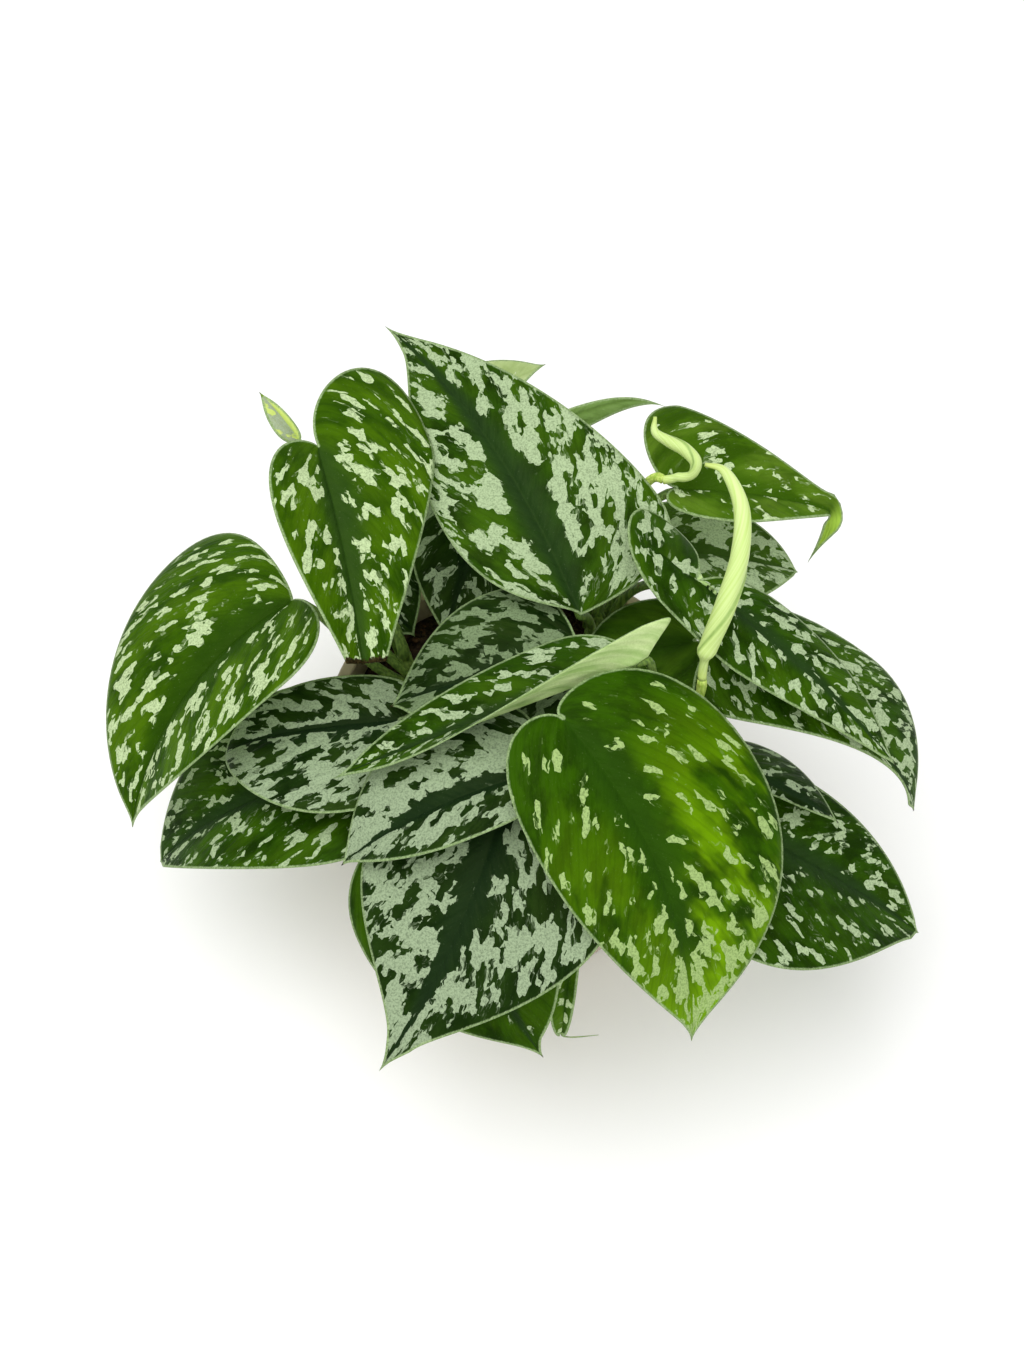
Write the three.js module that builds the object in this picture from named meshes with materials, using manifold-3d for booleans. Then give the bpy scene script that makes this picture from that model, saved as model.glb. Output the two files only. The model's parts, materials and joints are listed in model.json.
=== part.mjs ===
// Satin pothos (Scindapsus pictus) growing in a round nursery pot.
// Millimetres, +Z up. The origin is the centre of the pot's flat base.
import * as THREE from 'three';
import { mergeVertices } from 'three/addons/utils/BufferGeometryUtils.js';
import Module from 'manifold-3d';

const wasm = await Module();
wasm.setup();

// ---------- driving sizes ----------
const POT_RIM_R = 60;
const POT_HEIGHT = 92;
const POT_BASE_R = 42;
const POT_WALL = 1.5;
const POT_FLOOR = 2.2;
const COLLAR_HEIGHT = 9;
const COLLAR_STEP = 2.6;
const POT_SIDES = 48;
const DRAIN_HOLES = 6;
const DRAIN_R = 4;
const DRAIN_CIRCLE_R = 28;
const GAP = 0.3;
const SOIL_TOP = 84;
const SOIL_LUMP = 0.9;
const SOIL_RINGS = [44, 32, 19, 8];
const SOIL_SIDES = 36;
const VINE_R = 2.6;
const VINE_TIP_R = 1.9;
const VINE_HOLE_DEPTH = 18;
const PETIOLE_R = 1.7;
const PETIOLE_TOP_R = 1.3;
const MIDRIB_R = 0.45;
const BLADE_THICK = 0.8;
const BLADE_ROWS = 9;
const BENT_BLADE_ROWS = 13;
const BLADE_COLS = 3;
const ROW_SPREAD = 1.6;
const ROW_CURVE = 0.35;

// ---------- materials ----------
function paint(colour, roughness) {
  return new THREE.MeshStandardMaterial({ color: colour, roughness, metalness: 0 });
}
const POT_PLASTIC = paint(0xb9a794, 0.55);
const POTTING_MIX = paint(0x2c211a, 0.95);
const VINE_GREEN = paint(0x6f8c3a, 0.6);
const SATIN_GREEN = paint(0x3f6b24, 0.55);
const BRIGHT_GREEN = paint(0x6d9a1c, 0.5);
const DEEP_GREEN = paint(0x2c4a2c, 0.55);
const LIME = paint(0xbfd877, 0.5);

// ---------- vines: root, soil level and top, in order from the root up ----------
const VINES = {
  vine_left: [[-24, 10], [-30, 14], [-36, 20, 101]],
  vine_back_left: [[-6, 26], [-10, 32], [-15, 39, 99]],
  vine_back_right: [[14, 22], [18, 27], [24, 35, 101]],
  vine_centre: [[2, -4], [4, -8], [9, -11, 101]],
  vine_right: [[24, 6], [29, 7], [36, 6, 98]],
  vine_front_right: [[18, -14], [23, -16], [31, -19, 100]],
  vine_front_left: [[-14, -8], [-17, -10], [-22, -13, 99]],
};

// ---------- leaves ----------
// base and tip are the ends of the midrib. Pairs are left and right, seen from above with the tip ahead.
// width: half widths. lobe: how far the lobe reaches behind the base, as a share of the length.
// inner and swell: how the lobe leans over the petiole and how round it is.
// widest, full, point and sharp shape the margin to the tip.
// tail and tailWidth: length and half width of the thin tip, as shares of the leaf's.
// arch, hook, lean and bend curve the midrib. turn: where the right half points past the bend.
// roll, fold and camber tilt and round the halves.
// cut: share of the length that is left where the tip is gone. lift: how far a lobe curls up.
// petiole: where it starts (a vine and the share of its height, or a place in the soil) and its two handles.
const LEAVES = {
  leaf_left: {
    base: [-68, 24, 125], tip: [-117, -30, 83], width: [31, 45], roll: 18, fold: [18, 18],
    camber: [20, 35], arch: 0.12, lean: [5, 5], lobe: [0.05, 0.03], inner: [0.05, 0.1],
    widest: [0.2, 0.17], full: [0.55, 0.3],
    petiole: [['vine_left', 0.35], [-48, 14, 96], [-60, 30, 116]],
  },
  leaf_clipped: {
    base: [-60, 58, 155], tip: [-43, -22, 130], width: [35, 21], roll: -20, fold: [18, 25], cut: 0.8,
    lobe: [0.28, 0.02], inner: [-0.08, 0.05], widest: [0.05, 0.25], full: [0.15, 0.35], sharp: [0.04, 0.16],
    petiole: [['vine_left', 0.95], [-38, 22, 125], [-62, 58, 138]],
  },
  leaf_back: {
    base: [17, 15, 130], tip: [-43, 118, 140], width: [26, 36], roll: -12, arch: 0.08, lean: [7, 7],
    lobe: [-0.04, 0], widest: [0.35, 0.15], full: [0.38, 0.15], point: [0.78, 0.75], sharp: [0.24, 0.3],
    tail: 0.12,
    petiole: [[22, 21], [24, 30, 104], [20, 24, 118]],
  },
  leaf_rear_left: {
    base: [-30, 92, 115], tip: [8, 124, 115], width: [15.5, 7], sharp: [0.4, 0.25],
    petiole: [['vine_back_left', 0.95], [-22, 50, 104], [-34, 86, 104]],
  },
  leaf_rear_slim: {
    base: [0, 88, 124], tip: [46, 102, 120], width: [2.5, 5.5], roll: 40, fold: [5, 5], lean: [-1, -9],
    full: [0.2, 0.2], sharp: [0.28, 0.28], tail: 0.1,
    petiole: [[10, 34], [12, 44, 113], [-4, 84, 111]],
  },
  leaf_hooked_tip: {
    base: [46, 54, 140], bend: [92, 52, 132], tip: [88, 46, 113], width: [31, 12], lobe: [0.13, 0.06],
    widest: [0, 0.25], full: [0.08, 0.2], point: [0.6, 0.7], sharp: [0.15, 0.25], tail: 0.3,
    tailWidth: 0.19, turn: [-1, 0, 0],
    petiole: [['vine_back_right', 0.95], [24, 44, 120], [36, 54, 136]],
  },
  leaf_back_right: {
    base: [38, 47, 118], tip: [86, 48, 105], width: [19, 21], lobe: [0.12, 0.02], sharp: [0.6, 0.45],
    tail: 0.04,
    petiole: [['vine_back_right', 0.45], [30, 42, 100], [32, 46, 108]],
  },
  leaf_right_high: {
    base: [50, 17.5, 144.5], tip: [109, -23, 108], width: [14, 15.5], roll: 12, fold: [-15, 25],
    foldTip: [-15, -5], arch: 0.1, lobe: [-0.02, 0.14], inner: [0.05, -2.6], swell: [1.9, 5.5], lift: 12,
    widest: [0.35, 0.25], full: [0.5, 0.2], sharp: [0.42, 0.22],
    petiole: [[26, 32], [25, 42, 130], [46, 20, 132]],
  },
  leaf_right: {
    base: [56, 12, 122], tip: [118, -25, 84], width: [28, 21], roll: 4, fold: [-5, 5], arch: 0.16,
    hook: 0.3, lobe: [0.12, 0], widest: [0.5, 0.1], full: [0.45, 0.2], point: [0.83, 0.7],
    sharp: [0.52, -0.28],
    petiole: [['vine_right', 0.95], [50, -12, 100], [62, 0, 111]],
  },
  leaf_front_right: {
    base: [11, -29, 145], tip: [48, -97, 80], width: [40, 29], fold: [8, 8], camber: [20, 20], arch: 0.12,
    lean: [-8, -8], lobe: [0.07, 0.07], inner: [-0.15, 0.05], widest: [0.38, 0.3], full: [0.5, 0.46],
    petiole: [[12, -24], [16, -24, 112], [14, -25, 132]],
  },
  leaf_low_right: {
    base: [50, -33, 102], tip: [120, -55, 62], width: [24, 39], sharp: [0.5, 0.3], tail: 0.04,
    petiole: [['vine_front_right', 0.4], [38, -26, 94], [44, -31, 95]],
  },
  leaf_right_small: {
    base: [61, -27, 113], tip: [93, -35, 95], width: [16, 3], fold: [-10, -45],
    petiole: [[36, -10], [36, -11, 116], [53, -21, 113]],
  },
  leaf_centre: {
    base: [17, 4, 126], tip: [-39, -6, 113], width: [28, 27], lobe: [0.12, 0],
    petiole: [[14, -2], [17, -1, 104], [16, 4, 114]],
  },
  leaf_half_open: {
    base: [35, -9, 145], tip: [-54, -33, 118], width: [11, 16], fold: [112, 10], foldTip: [5, 10],
    camber: [0, 20], arch: 0.07, lean: [-5, -4], lobe: [0.085, -0.03], inner: [1, 0.05],
    widest: [0.05, 0.25], full: [0.6, 0.4], sharp: [0.4, 0.45],
    petiole: [['vine_front_right', 0.95], [36, -16, 118], [40, -8, 134]],
  },
  leaf_mid_left: {
    base: [-36, -8, 109], tip: [-89, -12, 95], width: [31, 16], camber: [20, 15], hook: 0.4,
    sharp: [0.6, 0.6], tail: 0.03,
    petiole: [['vine_front_left', 0.95], [-26, -10, 100], [-31, -7, 100]],
  },
  leaf_low_left: {
    base: [-40, -16, 97], tip: [-112, -30, 60], width: [30, 33], arch: 0.14, lobe: [0.02, 0.12],
    widest: [0.22, 0.36], full: [0.3, 0.45], sharp: [0.36, 0.5], tail: 0.03,
    petiole: [['vine_front_left', 0.4], [-28, -14, 90], [-35, -15, 90]],
  },
  leaf_front_left_high: {
    base: [1, -39, 131], tip: [-52, -52, 101], width: [14, 28], arch: 0.1,
    petiole: [['vine_centre', 0.95], [10, -16, 124], [8, -32, 130]],
  },
  leaf_front_left: {
    base: [-4, -37, 122], tip: [-41, -103, 72], width: [40, 35], roll: 6, fold: [4, 8], camber: [15, 15],
    lean: [-8, -8], widest: [0.3, 0.35], full: [0.25, 0.38], point: [0.75, 0.77], sharp: [0.2, 0.25],
    tail: 0.12,
    petiole: [['vine_centre', 0.4], [0, -18, 106], [-2, -31, 112]],
  },
  leaf_front_under: {
    base: [-30, -36, 107], tip: [6, -98, 70], width: [25, 34], roll: 32, fold: [5, 0], camber: [10, 10],
    arch: 0.1, lobe: [0.02, 0], full: [0.55, 0.55], sharp: [0.6, 0.36],
    petiole: [[-20, -26], [-22, -28, 98], [-28, -32, 97]],
  },
  leaf_front_small: {
    base: [15, -64, 84], bend: [12, -84, 54], tip: [23, -83, 50], width: [3, 5], arch: 0.1, tail: 0.25,
    petiole: [[24, -34], [22, -46, 101], [15, -68, 103]],
  },
  leaf_under_back: {
    base: [-9, 71, 118], tip: [-24, 24, 103], width: [20, 20],
    petiole: [[-4, 38], [-6, 44, 108], [-6, 74, 104]],
  },
  leaf_under_clipped: {
    base: [-54, 48, 112], tip: [-33, 28, 99], width: [16, 18],
    petiole: [[-34, 22], [-36, 26, 110], [-53, 45, 100]],
  },
  leaf_old: {
    base: [52, 18, 112], tip: [14, 10, 106], width: [20, 17],
    petiole: [['vine_right', 0.45], [44, 14, 94], [52, 18, 98]],
  },
  leaf_rear_right: {
    base: [24, 52, 100], tip: [16, 110, 74], width: [16, 15], lobe: [0.12, 0.02],
    petiole: [[20, 40], [21, 42, 94], [23, 48, 94]],
  },
  leaf_rear_low: {
    base: [-36, 54, 98], tip: [-68, 94, 74], width: [16, 22], lobe: [0.06, 0],
    petiole: [['vine_back_left', 0.45], [-22, 42, 99], [-32, 49, 96]],
  },
};
const HALF_OPEN_SHOOT = {
  base: [-66, 64, 150], tip: [-78, 76, 158], width: [5.5, 2], fold: [30, 50], camber: [30, 80],
  lobe: [0, 0],
  petiole: [['vine_left', 0.6], [-52, 18, 110], [-66, 54, 138]],
};
const ROLLED_SHOOTS = {
  shoot_right: {
    petiole: [[42, -8], [45, -8, 104], [52, -13, 122]],
    roll: [[51, -10, 135], [51, -9, 137], [52, -6, 145], [56, 0, 157], [60, 10, 168], [60, 21, 176],
      [55, 29, 181], [50, 30, 182]],
    radii: [2.5, 2.8, 3, 2.7, 2.2, 1.3, 0.4],
  },
  shoot_back: {
    petiole: [[30, 38], [27, 50, 118], [36, 60, 146]],
    roll: [[42, 54, 144], [50, 53, 148], [51, 55, 151], [48, 58, 153], [43, 60, 155], [39, 62, 157],
      [39, 65, 160]],
    radii: [1.4, 1.9, 2, 1.8, 1.2, 0.4],
  },
};
const LEAF_DEFAULTS = {
  roll: 0, arch: 0.06, hook: 0, lean: [0, 0], bend: null, fold: [15, 15], foldTip: null, camber: [25, 25],
  lobe: [0.12, 0.12], inner: [0.05, 0.05], swell: [1.9, 1.9], widest: [0.32, 0.32], full: [0.45, 0.45],
  point: [0.83, 0.83], sharp: [0.36, 0.36], tail: 0.07, tailWidth: 0.11, turn: null, cut: 1, lift: 0,
};
const MIDRIB_SAMPLES = 60;
const BENT_END_SAMPLES = 20;
const BENT_END_HANDLES = [3, 2];
const TURN_SHARE = 0.1;

// ---------- small vector and curve helpers ----------
const UP = new THREE.Vector3(0, 0, 1);
const LEFT = 0;
const RIGHT = 1;

function vec(a) {
  return new THREE.Vector3(...a);
}

function mix(a, b, t) {
  return a + (b - a) * t;
}

function cubic(p, t) {
  const s = 1 - t;
  return p[0] * s ** 3 + 3 * p[1] * s * s * t + 3 * p[2] * s * t * t + p[3] * t ** 3;
}

function cubicPoint(points, t) {
  return vec(['x', 'y', 'z'].map((axis) => cubic(points.map((p) => p[axis]), t)));
}

function along(origin, ...steps) {
  const out = origin.clone();
  for (const [direction, distance] of steps) out.addScaledVector(direction, distance);
  return out;
}

// ---------- closed meshes ----------
class Shell {
  constructor() {
    this.points = [];
    this.faces = [];
  }

  add(p) {
    this.points.push(p.clone());
    return this.points.length - 1;
  }

  ring(points) {
    return points.map((p) => this.add(p));
  }

  triangle(a, b, c) {
    if (a !== b && b !== c && c !== a) this.faces.push([a, b, c]);
  }

  quad(a, b, c, d) {
    this.triangle(a, b, c);
    this.triangle(a, c, d);
  }

  // joins two closed rings of the same count, wound anticlockwise seen from the end
  band(lower, upper) {
    const n = lower.length;
    for (let i = 0; i < n; i++) {
      const j = (i + 1) % n;
      this.quad(lower[i], lower[j], upper[j], upper[i]);
    }
  }

  fan(centre, ring, flip) {
    const n = ring.length;
    for (let i = 0; i < n; i++) {
      const j = (i + 1) % n;
      if (flip) this.triangle(centre, ring[j], ring[i]);
      else this.triangle(centre, ring[i], ring[j]);
    }
  }

  geometry() {
    const geometry = new THREE.BufferGeometry();
    const flat = this.points.flatMap((p) => [p.x, p.y, p.z]);
    geometry.setAttribute('position', new THREE.Float32BufferAttribute(flat, 3));
    geometry.setIndex(this.faces.flat());
    return geometry;
  }
}

// a body turned about Z from a profile of [radius, height] that starts and ends on the axis
function turned(profile, sides, bump = () => 0) {
  const shell = new Shell();
  const ends = [profile[0], profile[profile.length - 1]];
  const rings = profile.slice(1, -1).map(([r, z]) => {
    const ring = [];
    for (let i = 0; i < sides; i++) {
      const a = (2 * Math.PI * i) / sides;
      ring.push(new THREE.Vector3(r * Math.cos(a), r * Math.sin(a), z + bump(r, a, z)));
    }
    return shell.ring(ring);
  });
  shell.fan(shell.add(new THREE.Vector3(0, 0, ends[0][1])), rings[0], true);
  for (let k = 1; k < rings.length; k++) shell.band(rings[k - 1], rings[k]);
  shell.fan(shell.add(new THREE.Vector3(0, 0, ends[1][1])), rings[rings.length - 1], false);
  return shell.geometry();
}

// a closed tube along points, with a radius at each point and blunt ends
function tube(path, radii, sides) {
  const shell = new Shell();
  let across = null;
  const rings = path.map((p, i) => {
    const before = path[Math.max(i - 1, 0)];
    const after = path[Math.min(i + 1, path.length - 1)];
    const direction = after.clone().sub(before).normalize();
    if (!across) across = Math.abs(direction.z) < 0.9 ? UP.clone() : new THREE.Vector3(1, 0, 0);
    across.addScaledVector(direction, -across.dot(direction)).normalize();
    const other = direction.clone().cross(across);
    const ring = [];
    for (let k = 0; k < sides; k++) {
      const a = (2 * Math.PI * k) / sides;
      ring.push(along(p, [across, radii[i] * Math.cos(a)], [other, radii[i] * Math.sin(a)]));
    }
    return shell.ring(ring);
  });
  shell.fan(shell.add(path[0]), rings[0], true);
  for (let k = 1; k < rings.length; k++) shell.band(rings[k - 1], rings[k]);
  shell.fan(shell.add(path[path.length - 1]), rings[rings.length - 1], false);
  return shell.geometry();
}

// ---------- joining and cutting ----------
function solid(geometry) {
  const bare = new THREE.BufferGeometry();
  bare.setAttribute('position', geometry.getAttribute('position').clone());
  bare.setIndex(geometry.getIndex().clone());
  const merged = mergeVertices(bare, 1e-5);
  return new wasm.Manifold(new wasm.Mesh({
    numProp: 3,
    vertProperties: new Float32Array(merged.getAttribute('position').array),
    triVerts: new Uint32Array(merged.getIndex().array),
  }));
}

function asGeometry(body) {
  const mesh = body.getMesh();
  const geometry = new THREE.BufferGeometry();
  geometry.setAttribute('position', new THREE.BufferAttribute(Float32Array.from(mesh.vertProperties), 3));
  geometry.setIndex(new THREE.BufferAttribute(Uint32Array.from(mesh.triVerts), 1));
  return geometry;
}

// drops the crumbs that a cut can leave beside the body
function largest(body) {
  const pieces = body.decompose();
  pieces.sort((a, b) => b.volume() - a.volume());
  return pieces[0];
}

// ---------- the midrib: points, tangents and a frame at any share x of the length ----------
function midrib(leaf) {
  const base = vec(leaf.base);
  const tip = vec(leaf.tip);
  const end = leaf.bend ? vec(leaf.bend) : tip;
  const chord = end.clone().sub(base);
  const distance = chord.length();
  chord.normalize();
  const flatSide = chord.clone().cross(UP).normalize();
  const flatNormal = flatSide.clone().cross(chord);
  const roll = THREE.MathUtils.degToRad(leaf.roll);
  const side = along(new THREE.Vector3(), [flatSide, Math.cos(roll)], [flatNormal, -Math.sin(roll)]);
  const normal = along(new THREE.Vector3(), [flatNormal, Math.cos(roll)], [flatSide, Math.sin(roll)]);
  const rise = (4 / 3) * leaf.arch * distance;
  const handles = [
    base,
    along(base, [chord, 0.33 * distance], [normal, rise], [side, leaf.lean[0]]),
    along(base, [chord, (0.67 + 0.35 * leaf.hook) * distance], [normal, rise + 0.25 * leaf.hook * distance],
      [side, leaf.lean[1]]),
    end,
  ];
  const points = [];
  for (let i = 0; i <= MIDRIB_SAMPLES; i++) points.push(cubicPoint(handles, i / MIDRIB_SAMPLES));
  if (leaf.bend) {
    const turn = end.clone().sub(handles[2]).normalize();
    const fall = tip.clone().sub(end);
    const second = [
      end,
      along(end, [turn, BENT_END_HANDLES[0]]),
      along(end, [fall, 0.35], [turn, BENT_END_HANDLES[1]]),
      tip,
    ];
    for (let i = 1; i <= BENT_END_SAMPLES; i++) points.push(cubicPoint(second, i / BENT_END_SAMPLES));
  }
  const arc = [0];
  for (let i = 1; i < points.length; i++) arc.push(arc[i - 1] + points[i].distanceTo(points[i - 1]));
  const length = arc[arc.length - 1];
  const tangents = points.map((p, i) => {
    const before = points[Math.max(i - 1, 0)];
    const after = points[Math.min(i + 1, points.length - 1)];
    return after.clone().sub(before).normalize();
  });
  const turned = leaf.turn ? vec(leaf.turn) : side;
  const bendAt = arc[MIDRIB_SAMPLES] / length;
  return { points, tangents, length, side, turned, bendAt, arc: arc.map((s) => s / length) };
}

function frameAt(leaf, rib, x) {
  const share = Math.min(Math.max(x, 0), 1);
  let i = rib.arc.findIndex((s) => s >= share);
  i = Math.max(i, 1);
  const t = (share - rib.arc[i - 1]) / (rib.arc[i] - rib.arc[i - 1]);
  const point = rib.points[i - 1].clone().lerp(rib.points[i], t);
  const tangent = rib.tangents[i - 1].clone().lerp(rib.tangents[i], t).normalize();
  const past = THREE.MathUtils.clamp((share - rib.bendAt) / TURN_SHARE, 0, 1);
  const aim = rib.side.clone().lerp(rib.turned, past);
  const side = along(aim, [tangent, -aim.dot(tangent)]).normalize();
  const normal = side.clone().cross(tangent);
  if (x < 0) {
    // behind the base the lobe curls up on an arc
    const reach = Math.max(leaf.lobe[LEFT], leaf.lobe[RIGHT], 0.05);
    const angle = (THREE.MathUtils.degToRad(leaf.lift) * -x) / reach;
    const run = -x * rib.length;
    const back = angle > 1e-6 ? (run * Math.sin(angle)) / angle : run;
    const up = angle > 1e-6 ? (run * (1 - Math.cos(angle))) / angle : 0;
    point.addScaledVector(tangent, -back).addScaledVector(normal, up);
    const lifted = along(new THREE.Vector3(), [tangent, Math.cos(angle)], [normal, -Math.sin(angle)]);
    return { point, tangent: lifted, side, normal: side.clone().cross(lifted) };
  }
  return { point, tangent, side, normal };
}

// ---------- the margin: flat half outline at t from 0 (sinus) to 1 (tip) ----------
// t runs round the lobe, then along the side to the shoulder of the tip, then out along the thin tail
const LOBE_END = 0.4;
const TAIL_START = 0.92;
const BENT_TAIL_START = 0.7;

function margin(leaf, half, t) {
  const widest = leaf.widest[half];
  const lobe = leaf.lobe[half];
  const tailStart = leaf.bend ? BENT_TAIL_START : TAIL_START;
  if (t <= LOBE_END) {
    const u = t / LOBE_END;
    const round = leaf.swell[half] * lobe;
    return [cubic([0, -lobe, -round, widest], u), cubic([0, leaf.inner[half], 1, 1], u)];
  }
  if (t <= tailStart) {
    const u = (t - LOBE_END) / (tailStart - LOBE_END);
    const shoulder = widest + leaf.full[half] * (1 - widest);
    return [
      cubic([widest, shoulder, leaf.point[half], 1 - leaf.tail], u),
      cubic([1, 1, leaf.sharp[half], leaf.tailWidth], u),
    ];
  }
  const u = (t - tailStart) / (1 - tailStart);
  return [
    cubic([1 - leaf.tail, 1 - 0.6 * leaf.tail, 1 - 0.35 * leaf.tail, 1], u),
    leaf.tailWidth * cubic([1, 0.45, 0.09, 0], u),
  ];
}

// a point of the blade: x along the midrib, y in mm out from it on one half
function bladePoint(leaf, rib, half, x, y) {
  const sign = half === LEFT ? -1 : 1;
  const { point, side, normal } = frameAt(leaf, rib, x);
  const share = Math.min(Math.max(x, 0), 1);
  const foldTip = leaf.foldTip ?? leaf.fold;
  const fold = THREE.MathUtils.degToRad(mix(leaf.fold[half], foldTip[half], share));
  const bow = THREE.MathUtils.degToRad(leaf.camber[half]) / leaf.width[half];
  const straight = Math.abs(bow) < 1e-6;
  const out = straight ? y * Math.cos(fold) : (Math.sin(fold) - Math.sin(fold - bow * y)) / bow;
  const rise = straight ? y * Math.sin(fold) : (Math.cos(fold - bow * y) - Math.cos(fold)) / bow;
  return along(point, [side, sign * out], [normal, rise]);
}

// where a clipped blade ends along its margin
function marginEnd(leaf, half) {
  if (leaf.cut >= 1) return 1;
  let low = LOBE_END;
  let high = 1;
  for (let i = 0; i < 40; i++) {
    const middle = (low + high) / 2;
    if (margin(leaf, half, middle)[0] < leaf.cut) low = middle;
    else high = middle;
  }
  return low;
}

// ---------- a blade: one curved sheet of even thickness with its midrib in the middle ----------
function blade(leaf, rib) {
  const rows = leaf.bend ? BENT_BLADE_ROWS : BLADE_ROWS;
  const top = [];
  const faces = [];
  const index = new Map();
  const pick = (half, row, col, point) => {
    let key = `${half},${row},${col}`;
    if (row === 0) key = 'base';
    else if (row === rows && leaf.cut >= 1) key = 'tip';
    else if (col === 0) key = `rib,${row}`;
    if (!index.has(key)) {
      index.set(key, top.length);
      top.push(point);
    }
    return index.get(key);
  };
  for (const half of [LEFT, RIGHT]) {
    const end = marginEnd(leaf, half);
    const grid = [];
    for (let row = 0; row <= rows; row++) {
      const t = row / rows;
      const [edgeX, edgeShare] = margin(leaf, half, t * end);
      const edgeY = edgeShare * leaf.width[half];
      const ribX = leaf.cut * t ** ROW_SPREAD;
      grid.push([]);
      for (let col = 0; col <= BLADE_COLS; col++) {
        const v = col / BLADE_COLS;
        const bendX = mix(ribX, edgeX, ROW_CURVE);
        const x = ribX * (1 - v) ** 2 + 2 * bendX * v * (1 - v) + edgeX * v * v;
        grid[row].push(pick(half, row, col, bladePoint(leaf, rib, half, x, edgeY * v)));
      }
    }
    for (let row = 0; row < rows; row++) {
      for (let col = 0; col < BLADE_COLS; col++) {
        const [a, b] = [grid[row][col], grid[row + 1][col]];
        const [c, d] = [grid[row + 1][col + 1], grid[row][col + 1]];
        for (const face of [[a, b, c], [a, c, d]]) {
          if (new Set(face).size === 3) faces.push(half === LEFT ? face : face.reverse());
        }
      }
    }
  }
  return thickened(top, faces);
}

function thickened(points, faces) {
  const normals = points.map(() => new THREE.Vector3());
  for (const [a, b, c] of faces) {
    const n = points[b].clone().sub(points[a]).cross(points[c].clone().sub(points[a]));
    for (const i of [a, b, c]) normals[i].add(n);
  }
  const shell = new Shell();
  points.forEach((p, i) => shell.add(along(p, [normals[i].normalize(), BLADE_THICK / 2])));
  points.forEach((p, i) => shell.add(along(p, [normals[i], -BLADE_THICK / 2])));
  const under = points.length;
  const edges = new Set();
  for (const [a, b, c] of faces) {
    shell.triangle(a, b, c);
    shell.triangle(a + under, c + under, b + under);
    edges.add(`${a},${b}`).add(`${b},${c}`).add(`${c},${a}`);
  }
  for (const edge of edges) {
    const [a, b] = edge.split(',').map(Number);
    if (!edges.has(`${b},${a}`)) shell.quad(a, a + under, b + under, b);
  }
  return shell.geometry();
}

// ---------- stalks ----------
const STALK_STEPS = 7;
const STALK_SIDES = 5;
const VINE_SIDES = 8;
const RIDGE_AT = [0.15, 0.5];

function vineCurve(name) {
  const [root, mouth, top] = VINES[name];
  return new THREE.CatmullRomCurve3([
    new THREE.Vector3(...root, SOIL_TOP - VINE_HOLE_DEPTH),
    new THREE.Vector3(...mouth, SOIL_TOP),
    new THREE.Vector3(...top),
  ]);
}

// a stalk starts inside its vine, or at the bottom of its hole in the soil
function stalkPath([root, first, second], end) {
  const fromVine = typeof root[0] === 'string';
  const start = fromVine
    ? vineCurve(root[0]).getPoint(0.5 + 0.5 * root[1])
    : new THREE.Vector3(...root, SOIL_TOP - VINE_HOLE_DEPTH);
  const handles = [start, vec(first), vec(second), end];
  const steps = [];
  for (let i = 0; i <= STALK_STEPS; i++) {
    const t = i / STALK_STEPS;
    steps.push({ point: cubicPoint(handles, t), radius: mix(PETIOLE_R, PETIOLE_TOP_R, t) });
  }
  return steps;
}

// the petiole up to the base, then the ridge that runs on under the midrib; extra widens it for its soil hole
function petiole(leaf, rib, extra = 0) {
  const start = frameAt(leaf, rib, 0);
  const stalk = stalkPath(leaf.petiole, along(start.point, [start.normal, -0.6]));
  const path = stalk.map(({ point }) => point);
  const radii = stalk.map(({ radius }) => radius + extra);
  if (extra > 0) {
    path[0].z -= extra;
    return tube(path, radii, STALK_SIDES);
  }
  for (const x of RIDGE_AT) {
    const at = frameAt(leaf, rib, x * leaf.cut);
    path.push(along(at.point, [at.normal, -0.5]));
    radii.push(mix(PETIOLE_TOP_R, MIDRIB_R, x / RIDGE_AT[RIDGE_AT.length - 1]));
  }
  return tube(path, radii, STALK_SIDES);
}

// ---------- young leaves still rolled up: a stalk that widens into a bent spindle ----------
function rolledShoot(shoot, extra = 0) {
  const stalk = stalkPath(shoot.petiole, vec(shoot.roll[0]));
  const path = stalk.map(({ point }) => point);
  const radii = stalk.map(({ radius }) => radius + extra);
  if (extra > 0) {
    path[0].z -= extra;
    return tube(path, radii, VINE_SIDES);
  }
  shoot.roll.slice(1).forEach((point, i) => {
    path.push(vec(point));
    radii.push(shoot.radii[i]);
  });
  return tube(path, radii, VINE_SIDES);
}

// ---------- pot and soil ----------
function potRadius(z) {
  return mix(POT_BASE_R, POT_RIM_R - COLLAR_STEP, z / (POT_HEIGHT - COLLAR_HEIGHT));
}

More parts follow.
